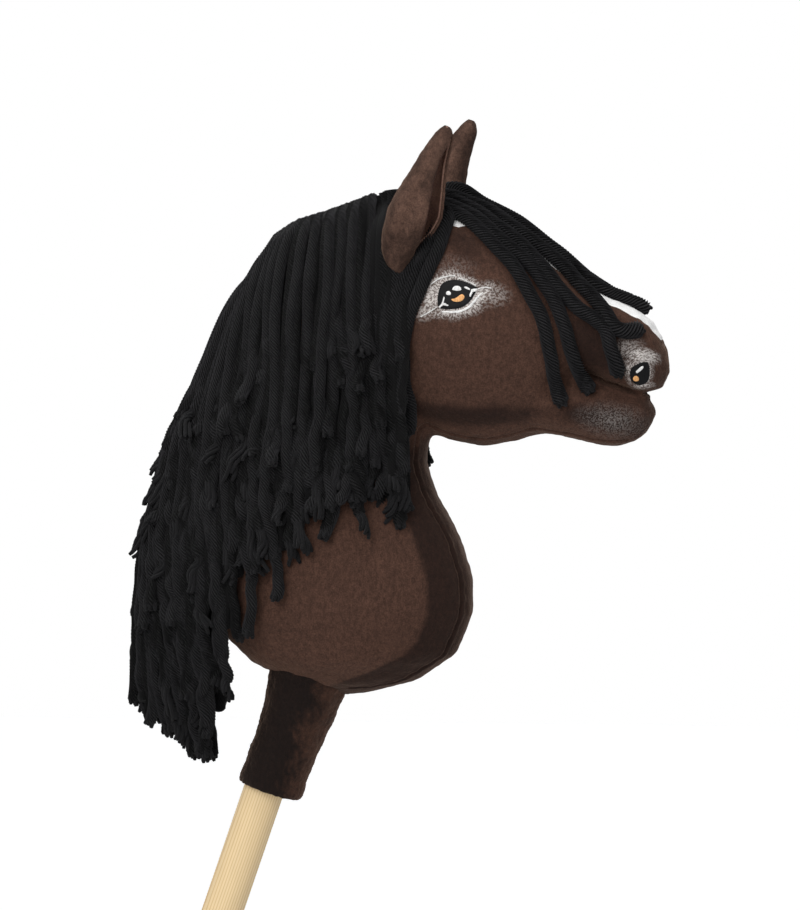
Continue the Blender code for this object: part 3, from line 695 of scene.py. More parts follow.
# Dark and pale tones of the yarn; the second yarn is a darker copy, painted shade for strands in the shadow inside the
# mane
YARN = make_yarn("black_soft_yarn", (0.0005, 0.0005, 0.0006, 1.0), (0.0190, 0.0183, 0.0197, 1.0))
YARN_IN_PAINTED_SHADE = make_yarn("black_soft_yarn_painted_shade", (0.0002, 0.0002, 0.0002, 1.0), (0.0055, 0.0053, 0.0056, 1.0))
BLACK_PAINT = make_paint("black_paint", (0.0055, 0.0055, 0.0060), 0.6)
WHITE_PAINT = make_paint("white_paint", (0.86, 0.85, 0.83), 0.55)
ORANGE_PAINT = make_paint("orange_paint", (0.83, 0.43, 0.17), 0.55)


# --- plush ---

def strip_half(x):
    """Half the width of the face strip at places along it."""
    return np.interp(x, *zip(*STRIP_WIDTHS))


def region_of(places):
    """Which points lie on the face strip's side of its edge, and how wide the under gusset is there."""
    x, z = places[:, 0], places[:, 2]
    edge = np.interp(x, *zip(*STRIP_EDGE))
    on_strip = (x > STRIP_START) & (z > edge)
    head = np.interp(x, *zip(*HEAD_MIDDLE))
    neck = np.interp(z, [row[1] for row in NECK_MIDDLE], [row[0] for row in NECK_MIDDLE])
    under = ((z < 0.335) & (x > neck)) | ((x > 0.150) & (z < head))
    half = np.where(under & (x < GUSSET_FRONT) & ~on_strip, GUSSET_HALF, 0.0)
    jaw = (x >= GUSSET_FRONT) & (z < np.interp(x, *zip(*JAW_MIDDLE)))
    return on_strip, np.where(jaw, np.interp(x, *zip(*JAW_GUSSET)), half)


def seam_distance(places, normals):
    """Distance along the plush from each point to the nearest seam."""
    on_strip, gusset = region_of(places)
    side = np.abs(places[:, 1])
    line = np.where(on_strip, strip_half(places[:, 0]), gusset)
    slope = np.sqrt(np.maximum(1.0 - normals[:, 1] ** 2, 0.04))
    along = np.abs(side - line) / slope
    edge = np.abs(places[:, 2] - np.interp(places[:, 0], *zip(*STRIP_EDGE)))
    end = np.where((places[:, 0] > STRIP_END) & (side < strip_half(places[:, 0])), edge * 0.87 + 0.0010, 1.0)
    return np.minimum(along, end)


def even_out(piece, rounds):
    """Smooth a piece without making it smaller."""
    for turn in range(rounds):
        work(piece, "SMOOTH", factor=0.5, iterations=1)
        work(piece, "SMOOTH", factor=-0.52, iterations=1)


def inflate(piece, held):
    """Puff up a piece by cloth simulation, with the held points sewn down and each move capped."""
    before = points_of(piece)
    sewn = piece.vertex_groups.new(name="sewn")
    sewn.add([int(index) for index in np.nonzero(held)[0]], 1.0, "REPLACE")
    pick(piece)
    modifier = piece.modifiers.new("stuffing", "CLOTH")
    modifier.settings.use_pressure = True
    modifier.settings.uniform_pressure_force = PUFF_PRESSURE
    modifier.settings.effector_weights.gravity = 0.0
    modifier.settings.vertex_group_mass = "sewn"
    modifier.settings.quality = 4
    modifier.point_cache.frame_start = 1
    modifier.point_cache.frame_end = PUFF_FRAMES
    for moment in range(1, PUFF_FRAMES + 1):
        bpy.context.scene.frame_set(moment)
    bpy.ops.object.modifier_apply(modifier=modifier.name)
    bpy.context.scene.frame_set(1)
    move = points_of(piece) - before
    length = np.linalg.norm(move, axis=1, keepdims=True)
    move_points(piece, before + move * np.minimum(1.0, PUFF_CAP / np.maximum(length, 1e-9)))
    piece.vertex_groups.clear()


def push(piece, amounts):
    """Move each point along its normal."""
    move_points(piece, points_of(piece) + normals_of(piece) * np.asarray(amounts).reshape(-1, 1))


def ease_form(piece):
    """Shift the form softly where the photo's outline asks for it."""
    places = points_of(piece)
    for (x, z), reach, (forward, up) in EASED:
        share = np.exp(-((places[:, 0] - x) ** 2 + (places[:, 2] - z) ** 2) / reach ** 2)
        places = places + share.reshape(-1, 1) * np.array((forward, 0.0, up))
    move_points(piece, places)


def raise_pile(piece, size, wave):
    """Uneven tufts of the pile, as small bumps."""
    push(piece, [noise.noise(Vector(place) * wave) * size for place in points_of(piece)])


def pucker(places, distance):
    """Small gathers beside a seam."""
    waves = np.array([noise.noise(Vector(place) * 150.0) for place in places])
    return waves * 0.0003 * np.exp(-(distance / 0.007) ** 2) / 0.4


def sew(piece):
    """Refine the cloth beside its seams, then press the seams in."""
    distance = seam_distance(points_of(piece), normals_of(piece))
    nearest = [min(distance[corner] for corner in face.vertices) for face in piece.data.polygons]
    choose_faces(piece, np.array(nearest) < 0.0045)
    bpy.ops.mesh.subdivide(number_cuts=1)
    leave()
    places = points_of(piece)
    distance = seam_distance(places, normals_of(piece))
    depth = SEAM_DEPTH * np.where(region_of(places)[0] | (places[:, 0] > STRIP_END), 0.3, 1.0)
    groove = -depth * np.exp(-(distance / SEAM_WIDTH) ** 2)
    lips = 0.3 * depth * np.exp(-((distance - 2.4 * SEAM_WIDTH) / SEAM_WIDTH) ** 2)
    push(piece, groove + lips + pucker(places, distance))


def mouth_line():
    """The mouth's line as (x, z), from its corner forward."""
    rows = []
    for u, v in MOUTH_PIXELS:
        place = pixel_at_depth(u, v, -0.026)
        rows.append((place.x, place.z))
    return rows


def press_mouth(piece):
    """Press the mouth's slit into the cloth, deeper towards the lips and straight back in their middle."""
    rows = mouth_line()
    first = rows[0][0]

    def beside(places):
        """How far places lie above or below the mouth's line."""
        return np.abs(places[:, 2] - np.interp(places[:, 0], *zip(*rows)))

    def choose_near(start, reach):
        """Select the faces beside the line."""
        faces = centres_of(piece)
        choose_faces(piece, (faces[:, 0] > start) & (beside(faces) < reach))

    for start, reach in ((0.274, 0.013), (first - 0.003, 0.006)):
        choose_near(start, reach)
        bpy.ops.mesh.subdivide(number_cuts=1)
        leave()
    places = points_of(piece)
    share = np.clip((places[:, 0] - first + 0.003) / 0.022, 0.0, 1.0)
    narrow = np.exp(-(beside(places) / np.interp(places[:, 0], *zip(*MOUTH_WIDTHS))) ** 2)
    depth = (MOUTH_DEPTH * share ** 0.6 * narrow).reshape(-1, 1)
    middle = np.clip((places[:, 0] - 0.281) / 0.006, 0.0, 1.0) * np.exp(-(places[:, 1] / 0.010) ** 2)
    middle = middle.reshape(-1, 1)
    inward = normals_of(piece) * np.array((1.0, 1.0, 0.0)) * (1.0 - middle) + np.array((1.0, 0.0, 0.0)) * middle
    move_points(piece, places - depth * inward)
    choose_near(0.272, 0.010)
    bpy.ops.mesh.vertices_smooth(factor=0.5, repeat=9)
    leave()


def cut_flat(piece, near, place, normal):
    """Cut the faces near a plane along it."""
    choose_faces(piece, near)
    bpy.ops.mesh.bisect(plane_co=place, plane_no=normal)
    leave()


def take_off(piece, chosen):
    """Separate the chosen faces as a piece of their own."""
    choose_faces(piece, chosen)
    bpy.ops.mesh.separate(type="SELECTED")
    leave()
    return next(part for part in bpy.context.selected_objects if part != piece)


def spots(u, v, rows):
    """How strong soft oval spots are at pixels."""
    total = np.zeros(len(u))
    for (middle_u, middle_v), (half_u, half_v), tilt, strength, core in rows:
        cos, sin = math.cos(math.radians(tilt)), math.sin(math.radians(tilt))
        right, down = u - middle_u, v - middle_v
        reach = np.hypot((right * cos + down * sin) / half_u, (down * cos - right * sin) / half_v)
        spot = strength * np.clip((1.25 - reach) / (1.25 - core), 0.0, 1.0)
        total = np.maximum(total, spot)
    return total


def mark(piece, name, values):
    """Store a value on each point of a piece, for its material to read."""
    layer = piece.data.attributes.new(name, "FLOAT", "POINT")
    layer.data.foreach_set("value", values.astype(np.float32))


def mark_nap(piece):
    """Store the share of painted light on the pile, partly following its lie: by the photo's line between the tones,
    lighter on faces turned to the side, with painted shade in a band under the cheek and in spots.
    """
    u, v = pixels_of(points_of(piece))
    edge = np.interp(v, *zip(*PAINTED_LIGHT_EDGE))
    # Painted light on the neck: lit inside the line, shaded beyond it
    neck = np.clip(np.minimum(edge - u, (PAINTED_LIGHT_BOTTOM - v) * 2.0) / PAINTED_LIGHT_SOFT + 0.5, 0.0, 1.0)
    neck = neck * neck * (3.0 - 2.0 * neck)
    # Painted light: faces turned to the side are painted lighter
    side = 0.55 + 0.45 * np.clip((np.abs(normals_of(piece)[:, 1]) - 0.30) / 0.40, 0.0, 1.0)
    below = v - np.interp(u, *zip(*CHEEK_EDGE))
    # Painted shade in a band under the cheek
    shade_band = np.exp(-((below - 9.0) / 11.0) ** 2) * np.interp(u, *zip(*CHEEK_SHADE_BAND))
    # Painted shade in spots, such as between the strands over the muzzle
    head = side * (1.0 - shade_band) * (1.0 - spots(u, v, PAINTED_SHADE_SPOTS))
    share = np.clip((v - 434.0) / 26.0, 0.0, 1.0) * (u < 480)
    mark(piece, "nap", neck * share + head * (1.0 - share))


def mark_silver(piece):
    """Store where silver is brushed on the plush: round the eyes and nostrils and on the chin."""
    u, v = pixels_of(points_of(piece))
    sideways = np.clip((np.abs(normals_of(piece)[:, 1]) - 0.10) / 0.15, 0.0, 1.0)
    mark(piece, "silver", spots(u, v, SILVER) * sideways)


def jaw_seam():
    """Where the jaw is sewn on: the seam's top, its bottom and the direction ahead of it."""
    top, bottom = (pixel_at_depth(u, v, -0.030) for u, v in JAW_SEWN)
    return top, bottom, Vector((top.z - bottom.z, 0.0, bottom.x - top.x)).normalized()


def cut_seams(form):
    """Cut the skin along the strip's edges and ends and along the seam of the jaw."""
    for end, side in SIDES:
        for (x, half), (after, wide) in zip(STRIP_WIDTHS, STRIP_WIDTHS[1:]):
            places = centres_of(form)
            near = (places[:, 0] > x - 0.001) & (places[:, 0] < after + 0.001)
            near &= np.abs(places[:, 1] * side - strip_half(places[:, 0])) < 0.004
            across = Vector((half - wide, (after - x) * side, 0.0)).normalized()
            cut_flat(form, near & region_of(places)[0], (x, half * side, 0.0), across)
    places = centres_of(form)
    near = (np.abs(places[:, 0] - STRIP_START) < 0.006) & (places[:, 2] > 0.42)
    near &= np.abs(places[:, 1]) < STRIP_WIDTHS[0][1] + 0.002
    cut_flat(form, near, (STRIP_START, 0.0, 0.0), (1.0, 0.0, 0.0))
    places = centres_of(form)
    low, high = (Vector((x, 0.0, z)) for x, z in STRIP_EDGE[-3:-1])
    along = (high - low).normalized()
    near = (places[:, 0] > 0.288) & (np.abs(places[:, 1]) < 0.017)
    cut_flat(form, near, low, (-along.z, 0.0, along.x))
    top, bottom, ahead = jaw_seam()
    places = centres_of(form)
    along = (places - np.array(top)) @ np.array(ahead)
    cut_flat(form, (np.abs(along) < 0.006) & (places[:, 2] < top.z + 0.002), top, ahead)


def make_body():
    """Head, neck and jaw: one puffed skin, cut into dark plush, jaw plush and the white face strip."""
    form = merged_copy("plush_form", "neck_stuffing", "head_stuffing", "side_panel_left", "side_panel_right",
                       "face_strip", "under_gusset", "jaw_cover", "jaw_stuffing")
    form = joined([form, rod(TUBE_RADIUS, 0.150, 0.345, 32)])
    work(form, "REMESH", mode="VOXEL", voxel_size=0.004)
    even_out(form, 7)
    work(form, "SMOOTH", factor=0.5, iterations=1)
    inflate(form, seam_distance(points_of(form), normals_of(form)) < 0.004)
    even_out(form, 2)
    ease_form(form)
    work(form, "SUBSURF", levels=1, render_levels=1)
    push(form, np.full(len(form.data.vertices), 0.0004))
    raise_pile(form, 0.00036, 230.0)
    sew(form)
    press_mouth(form)
    cut_seams(form)
    places = centres_of(form)
    from_axis = places - np.outer(places @ np.array(AXIS), np.array(AXIS))
    choose_faces(form, (np.linalg.norm(from_axis, axis=1) < TUBE_RADIUS) & (places[:, 2] < 0.16))
    bpy.ops.mesh.delete(type="FACE")
    leave()
    tree = tree_of(form)
    mark_nap(form)
    mark_silver(form)
    places = centres_of(form)
    strip = take_off(form, region_of(places)[0] & (np.abs(places[:, 1]) < strip_half(places[:, 0])))
    places = centres_of(form)
    top, bottom, ahead = jaw_seam()
    before = (places - np.array(top)) @ np.array(ahead) > 0.0
    below = places[:, 2] < np.interp(places[:, 0], *zip(*mouth_line()))
    jaw = take_off(form, before & below & (places[:, 0] > bottom.x - 0.004))
    for piece, name, slot, finish in ((form, "plush_skin", "plush", PLUSH_HEAD),
                                      (jaw, "jaw_plush", "plush", PLUSH_HEAD),
                                      (strip, "white_face_strip", "white_plush", WHITE_PLUSH)):
        work(piece, "SOLIDIFY", thickness=PLUSH, offset=-1.0)
        smooth(piece, 80.0)
        dress(piece, name, "head", slot, finish)
    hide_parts("side_panel_left", "side_panel_right", "under_gusset")
    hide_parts("face_strip")
    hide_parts("jaw_cover")
    return tree


def make_filling(node, voxel, shrink):
    """A stuffing lobe of soft fibre, a little smaller than its cover."""
    lobe = merged_copy(node + "_form", node)
    work(lobe, "REMESH", mode="VOXEL", voxel_size=voxel)
    work(lobe, "SMOOTH", iterations=4, factor=0.5)
    ease_form(lobe)
    lumps = np.array([noise.noise(Vector(place) * 90.0) for place in points_of(lobe)])
    push(lobe, lumps * shrink * 0.5 - shrink)
    smooth(lobe, 80.0)
    dress(lobe, node.replace("stuffing", "filling"), "head", "filling", FILLING)
    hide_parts(node)


# The cuff: height above its mouth, radius of the sleeve there and how far the hem rolls in; length of its fine rows
CUFF_MOUTH = 0.060
CUFF_STEP = 0.0016
CUFF_ROWS = (
    (0.0048, 0.0200, 0.0036), (0.0022, 0.0200, 0.0032), (0.0006, 0.0200, 0.0022), (0.0000, 0.0201, 0.0010),
    (0.0006, 0.0203, 0.0001), (0.0024, 0.0205, -0.0005), (0.0060, 0.0206, -0.0007), (0.0100, 0.0206, -0.0004),
    (0.0135, 0.0204, 0.0002), (0.0180, 0.0205, 0.0000), (0.0250, 0.0208, -0.0002), (0.0340, 0.0211, 0.0001),
    (0.0436, 0.0214, 0.0000), (0.0520, 0.0218, 0.0002), (0.0600, 0.0222, -0.0001), (0.0680, 0.0226, 0.0000),
    (0.0760, 0.0230, -0.0002), (0.0830, 0.0233, 0.0002), (0.0890, 0.0235, 0.0006),
)
CUFF_SIDES = 76
CUFF_EXTRA = 0.00175
CUFF_REAR = 0.0184
CUFF_FLARE = 0.0055


def make_cuff():
    """The plush sleeve round the stick, rolled in at its mouth and gathered under the neck."""
    fine = []
    for low, high in zip(CUFF_ROWS, CUFF_ROWS[1:]):
        parts = max(1, round(abs(high[0] - low[0]) / CUFF_STEP))
        for part in range(parts):
            fine.append([first + (second - first) * (part / parts) for first, second in zip(low, high)])
    fine.append(CUFF_ROWS[-1])
    points = []
    for height, radius, inset in fine:
        flare = CUFF_FLARE * ease(height, 0.052, 0.086)
        radius += CUFF_EXTRA + flare / 2
        centre = AXIS * (CUFF_MOUTH + height) + FRONT * (radius - CUFF_REAR - flare)
        fold = min(1.0, max(0.0, (height - 0.010) / 0.02))
        gathered = min(1.0, max(0.0, (height - 0.062) / 0.02))
        for index in range(CUFF_SIDES):
            turn = math.tau * index / CUFF_SIDES
            round_about = Vector((math.cos(turn) * 1.7, math.sin(turn) * 1.7, height * 42.0))
            ripple = noise.noise(round_about) * 0.0011 * fold
            ripple += noise.noise(round_about * 2.6) * 0.0005 * (0.4 + fold)
            gathers = 0.0007 * math.sin(turn * 9.0 + 1.2) * gathered
            ray = FRONT * math.cos(turn) + SIDE * math.sin(turn)
            points.append(centre + ray * (radius - inset + ripple + gathers))
    cuff = from_points("cuff_form", points, grid_faces(len(fine), CUFF_SIDES, closed=True))
    outward(cuff)
    work(cuff, "SOLIDIFY", thickness=PLUSH, offset=-1.0)
    work(cuff, "SUBSURF", levels=1, render_levels=1)
    raise_pile(cuff, 0.0005, 380.0)
    smooth(cuff, 80.0)
    dress(cuff, "cuff_plush", "head", "plush", CUFF_PLUSH)
    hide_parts("cuff_cover")


# The ears: middle (x, y, z) and radius of each row of the rolled leaf, and the turn where its near rim lies
EAR_ROWS = (
    (0.1204, 0.0399, 0.4127, 0.0012, -34), (0.1199, 0.0400, 0.4144, 0.0044, -34), (0.1187, 0.0402, 0.4192, 0.0078, -34),
    (0.1189, 0.0405, 0.4266, 0.0105, -30),
    (0.1212, 0.0412, 0.4363, 0.0131, -10), (0.1270, 0.0422, 0.4453, 0.0168, 15), (0.1308, 0.0430, 0.4536, 0.0184, 24),
    (0.1334, 0.0436, 0.4592, 0.0183, 28), (0.1361, 0.0446, 0.4674, 0.0167, 29), (0.1387, 0.0456, 0.4746, 0.0148, 30),
    (0.1411, 0.0466, 0.4816, 0.0129, 30), (0.1450, 0.0480, 0.4918, 0.0105, 29), (0.1487, 0.0494, 0.5000, 0.0089, 26),
    (0.1529, 0.0507, 0.5085, 0.0070, 10), (0.1550, 0.0514, 0.5140, 0.0046, -10), (0.1558, 0.0517, 0.5166, 0.0022, -25),
)
EAR_PARTS = 4
EAR_FAR_RIM = 323.0
EAR_FOLD = 68.0
EAR_TRIM = 3.5
EAR_OPENING = math.radians(-27.0)
EAR_COLUMNS = 44


def make_ear(end, side):
    """One ear: a rolled leaf of plush with a rounded rim, and its lining inside."""
    rows = curve_through([Vector((x, y * side, z, radius)) for x, y, z, radius, rim in EAR_ROWS], EAR_PARTS)
    rims = [place.x for place in curve_through([Vector((row[4], 0.0)) for row in EAR_ROWS], EAR_PARTS)]
    up = (rows[-1].to_3d() - rows[0].to_3d()).normalized()
    opening = Vector((math.cos(EAR_OPENING), -math.sin(EAR_OPENING) * side, 0.0))
    opening = (opening - up * opening.dot(up)).normalized()
    across = up.cross(opening) * side
    for name, node, inset, thick, trim, material, slot in (
            ("ear_plush_", "ear_", 0.0, 0.0015, 0.0, EAR_PLUSH, "plush"),
            ("ear_inside_", "ear_lining_", 0.0018, 0.0012, EAR_TRIM, EAR_LINING, "lining")):
        points = []
        for number, (row, rim) in enumerate(zip(rows, rims)):
            rise = number / (len(rows) - 1)
            for column in range(EAR_COLUMNS + 1):
                share = column / EAR_COLUMNS
                turn = math.radians(rim + trim + (EAR_FAR_RIM - rim - 2 * trim) * share)
                ray = opening * math.cos(turn) + across * math.sin(turn)
                fold = math.exp(-((turn - math.radians(EAR_FOLD)) / 0.26) ** 2) * math.sin(math.pi * rise) * 0.13
                lean = noise.noise(Vector((share * 2.4, rise * 3.2, side * 5.0))) * 0.0012
                radius = max(0.0008, row[3] - inset) * (1.0 - fold) + lean * min(1.0, row[3] / 0.012)
                points.append(row.to_3d() + ray * radius)
        leaf = from_points(name + end, points, grid_faces(len(rows), EAR_COLUMNS + 1))
        halfway = len(rows) // 2
        sample = leaf.data.polygons[halfway * EAR_COLUMNS + EAR_COLUMNS // 2]
        if (sample.center - rows[halfway].to_3d()).dot(sample.normal) < 0:
            turn_over(leaf)
        work(leaf, "SOLIDIFY", thickness=thick, offset=-1.0)
        if slot == "plush":
            work(leaf, "BEVEL", width=0.0006, segments=2, limit_method="ANGLE", angle_limit=math.radians(50.0))
            raise_pile(leaf, 0.00045, 260.0)
        smooth(leaf, 70.0)
        dress(leaf, name + end, "head", slot, material)
        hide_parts(node + end)


# --- painted eyes and nostrils ---

PAINTS = (BLACK_PAINT, WHITE_PAINT, ORANGE_PAINT)

# Height and thickness of a brush stroke, and how many rounds of points the black films have
STROKE_LIFT = 0.0008
EYE_FINE = 9
NOSTRIL_FINE = 7

# Outlines by pixels of the photo; a stroke's pixels are followed by half its width
EYE_BLACK = (
    (438.6, 306.8), (437.6, 300.5), (438.2, 294), (439.6, 288.6), (441.8, 284.2), (446, 281.4), (452, 280),
    (460, 280.2), (467, 282.6), (475, 286.4), (477.6, 288.2), (476, 291.6), (473.6, 296), (470.8, 300.4),
    (466, 305), (459, 308.3), (450, 309.2), (442, 308.8),
)
EYE_WHITES = (
    ((451.8, 290.0), (452.6, 287.6), (454.6, 286.0), (457.4, 285.6), (460.2, 286.4), (461.8, 288.4), (461.6, 290.6),
     (457, 291.2)),
    ((446.0, 293.2), (447.2, 291.2), (449.6, 291.0), (451.4, 293.0), (450.8, 295.2), (448.4, 295.6), (446.4, 294.8)),
    ((464.2, 286.6), (467.2, 286.9), (470.4, 289.0), (470.0, 290.4), (466.4, 289.2), (464.2, 287.8)),
    ((471.6, 288.8), (476.6, 288.4), (476.2, 291.4), (472.6, 291.9), (471.0, 296.6), (469.6, 297.4), (469.2, 295.0),
     (470.8, 291.4)),
    ((444.0, 296.0), (445.0, 297.2), (444.6, 300.4), (444.2, 303.4), (449.0, 305.0), (448.2, 306.4), (443.6, 305.6),
     (440.4, 307.6), (439.0, 306.8), (441.8, 303.4), (443.0, 299.4)),
)
EYE_ORANGE = (
    (450.4, 299.4), (453.4, 298.8), (457.4, 297.0), (460.6, 294.4), (463.4, 293.9), (465.2, 296.0), (464.6, 299.0),
    (461.6, 301.6), (457.0, 302.5), (452.6, 301.6),
)
LID_STROKES = (
    ((458.6, 278.0), (462.0, 279.2), (467.0, 281.4), (472.0, 283.6), (476.0, 285.6), 0.00030),
    ((431.0, 284.5), (438.0, 279.5), (446.0, 276.6), (455.0, 275.6), 0.00042),
    ((442.0, 311.6), (450.0, 311.8), (460.0, 311.2), (468.0, 307.6), (474.0, 301.6), (479.0, 296.0), (483.0, 292.4),
     0.00080),
    ((437.0, 307.0), (432.0, 310.4), (427.0, 313.4), (421.0, 316.6), 0.00040),
    ((476.0, 289.6), (481.0, 288.0), (486.0, 287.4), (491.0, 287.8), 0.00040),
)
NOSTRIL_BLACK = (
    (633.2, 366.4), (638, 363.8), (643, 362.2), (647.2, 362.6), (649.3, 366.4), (649.4, 373), (648.4, 379.4),
    (645, 383.4), (640, 384.9), (635, 383.6), (631.2, 380), (629.9, 374), (630.8, 369.4),
)
NOSTRIL_WHITES = (
    ((635.3, 371.6), (638.8, 367.8), (642, 365.4), (643.7, 366.2), (642.6, 368.8), (639.6, 371.6), (636.8, 373.4)),
)
NOSTRIL_ORANGE = ((632.8, 377.4), (634.4, 375.4), (637, 375.1), (639.2, 377.2), (639, 380.4), (635.6, 381.2),
                  (633.4, 380))


def side_view(tree, pixels):
    """Pixels of the photo as (x, z) on the near side of the plush."""
    found = [seen_at(tree, u, v) for u, v in pixels]
    return [Vector((place.x, place.z)) for place in found if place is not None]


def from_side(tree, x, z, side):
    """What a surface shows at (x, z), looked at from one side."""
    return tree.ray_cast(Vector((x, side * 0.3, z)), Vector((0.0, -side, 0.0)))


def laid(tree, x, z, side, lift):
    """The point on the plush at (x, z) of one side, raised by lift."""
    place, normal, index, distance = from_side(tree, x, z, side)
    return Vector((x, side * 0.001, z)) if place is None else place + normal * lift


def film(tree, outline, side, lift, thick, rounds):
    """A film of paint inside an outline, laid on the plush, with points inwards in rounds."""
    ring = curve_through(outline, 3, closed=True)
    count = len(ring)
    middle = sum(ring, Vector((0.0, 0.0))) / count
    points = []
    for layer in range(rounds):
        for place in ring:
            at = middle.lerp(place, 1.0 - layer / rounds)
            points.append(laid(tree, at.x, at.y, side, lift if layer else lift * 0.4))
    points.append(laid(tree, middle.x, middle.y, side, lift))
    faces = grid_faces(rounds, count, closed=True)
    start = (rounds - 1) * count
    faces += [(start + index, start + (index + 1) % count, len(points) - 1) for index in range(count)]
    return finish_film(points, faces, side, thick)


def finish_film(points, faces, side, thick):
    """Turn a laid sheet's faces out and give it its thickness."""
    sheet = from_points("film", points, faces)
    outward(sheet)
    if sum(face.normal.y for face in sheet.data.polygons) * side < 0:
        turn_over(sheet)
    return work(sheet, "SOLIDIFY", thickness=thick, offset=-1.0)


def stroke(tree, pixels, half_width, side, seed):
    """A brush stroke along pixels, ragged and thin at its ends."""
    rng = random.Random(seed)
    line = curve_through([place.to_3d() for place in side_view(tree, pixels)], 6)
    points = []
    for index, place in enumerate(line):
        ahead = line[min(index + 1, len(line) - 1)] - line[max(index - 1, 0)]
        square = Vector((-ahead.y, ahead.x)).normalized()
        share = index / (len(line) - 1)
        width = half_width * (0.25 + 0.75 * math.sin(math.pi * min(1.0, 0.08 + share * 0.92)) ** 0.5)
        for reach in (-1.0, 0.0, 1.0):
            at = place.to_2d() + square * (reach * width * rng.uniform(0.72, 1.25))
            points.append(laid(tree, at.x, at.y, side, STROKE_LIFT if reach == 0.0 else STROKE_LIFT * 0.5))
    return finish_film(points, grid_faces(len(line), 3), side, STROKE_LIFT)


def join_painted(kind, end, parts):
    """Join films, each with the number of its paint, into one painted piece."""
    for part, paint in parts:
        for entry in PAINTS:
            part.data.materials.append(entry)
        part.data.polygons.foreach_set("material_index", np.full(len(part.data.polygons), paint))
    piece = joined([part for part, paint in parts])
    smooth(piece)
    dress(piece, "painted_" + kind + end, "head", "black_paint")
    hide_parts(kind + end)


def make_painted(tree):
    """Eyes and nostrils on both sides, placed by the photo's near side."""
    painted = (("eye_", EYE_BLACK, EYE_FINE, EYE_WHITES, EYE_ORANGE, LID_STROKES),
               ("nostril_", NOSTRIL_BLACK, NOSTRIL_FINE, NOSTRIL_WHITES, NOSTRIL_ORANGE, ()))
    for end, side in SIDES:
        for kind, black, fine, whites, orange, strokes in painted:
            parts = [(film(tree, side_view(tree, black), side, 0.0007, 0.0010, fine), 0)]
            for paint, outline in [(1, white) for white in whites] + [(2, orange)]:
                parts.append((film(tree, side_view(tree, outline), side, 0.0011, 0.0006, 3), paint))
            for number, (*pixels, half_width) in enumerate(strokes):
                parts.append((stroke(tree, pixels, half_width, side, 40 + number), 1))
            join_painted(kind, end, parts)


# --- yarn ---

# Lines of fall of the mane on the near side, front to back: (x, z) from the crest down
MANE_LINES = (
    ((0.1235, 0.4735), (0.1250, 0.436), (0.1250, 0.384), (0.1230, 0.336), (0.1225, 0.290), (0.1225, 0.240)),
    ((0.1080, 0.4745), (0.112, 0.436), (0.112, 0.384), (0.114, 0.336), (0.116, 0.290), (0.117, 0.236)),
    ((0.0880, 0.4655), (0.091, 0.432), (0.090, 0.384), (0.091, 0.336), (0.091, 0.287), (0.092, 0.230)),
    ((0.0650, 0.4570), (0.066, 0.426), (0.065, 0.381), (0.064, 0.333), (0.062, 0.280), (0.063, 0.222)),
    ((0.0440, 0.4505), (0.036, 0.424), (0.033, 0.377), (0.031, 0.329), (0.029, 0.270), (0.040, 0.180)),
    ((0.0300, 0.4415), (0.017, 0.407), (0.009, 0.362), (0.001, 0.307), (-0.003, 0.232), (-0.0060, 0.112)),
    ((0.0235, 0.4290), (0.006, 0.395), (-0.012, 0.347), (-0.024, 0.292), (-0.028, 0.206), (-0.020, 0.0765)),
    ((0.0205, 0.4225), (0.000, 0.390), (-0.021, 0.342), (-0.039, 0.286), (-0.048, 0.200), (-0.035, 0.0810)),
    ((0.0180, 0.4195), (-0.005, 0.388), (-0.026, 0.338), (-0.047, 0.284), (-0.061, 0.202), (-0.057, 0.0990)),
    ((0.0165, 0.4170), (-0.006, 0.387), (-0.029, 0.336), (-0.052, 0.285), (-0.069, 0.205), (-0.0735, 0.117)),
)

# Strands of the forelock and behind the near ear, by the photo's pixels along their middles; {} is left or right
FORELOCK_PIXELS = (
    ("forelock_top", ((446, 190), (463, 191), (480, 203), (500, 213), (520, 224), (540, 240), (558, 254), (575, 269),
                      (590, 282), (600, 289.5), (612, 295.5), (622, 299.5), (632, 303.5), (640, 307.5), (646, 310.5))),
    ("forelock_{}_1", ((447, 196), (470, 203), (490, 213), (510, 227), (530, 242), (550, 257), (560, 266), (570, 277),
                    (580, 288), (590, 297.5), (599, 308), (605, 317), (611, 326), (619, 331), (629, 331), (639, 330))),
    ("forelock_{}_2", ((446, 201), (475, 212), (495, 226), (515, 241), (530, 256), (544, 272), (555, 286), (565, 299),
                    (576, 310), (590, 318), (600, 326), (606, 338), (609, 351), (613, 364), (618, 376))),
    ("forelock_{}_3", ((446, 206), (475, 219), (492, 234), (508, 248), (522, 259), (533, 271), (543, 286), (552, 301),
                    (559, 316), (564, 332), (568, 346), (573, 360), (578, 373), (584, 386), (587, 395))),
    ("forelock_{}_4", ((446, 210), (468, 222), (484, 237), (498, 251), (511, 265), (521, 282), (531, 300), (540, 316),
                    (545, 334), (548, 350), (550, 366), (553, 381), (558, 396), (562, 404))),
    ("cheek_lock_{}", ((447, 212), (444, 232), (438, 252), (427.5, 274), (417, 298), (409, 318), (404, 345),
                    (403.5, 370),
                    (406, 392), (410, 408), (409, 424), (404, 435))),
    ("cheek_lock_{}", ((441, 216), (435, 234), (425, 254), (413, 278), (403, 300), (398, 325), (394, 350), (390, 372),
                    (388, 395), (389, 415), (391, 432))),
    ("cheek_lock_{}", ((438, 220), (431, 240), (420, 258), (404, 280), (392, 304), (387, 328), (384, 352), (381, 374),
                    (379, 397), (380, 418), (382, 434))),
)

# The forelock's root, its room over the plush, and how far aside and down the far strand on top lies
FORELOCK_ROOT = (0.128, 0.006, 0.462)
FORELOCK_ROOM = 0.0026
FORELOCK_FAR = (0.0070, 0.0030)


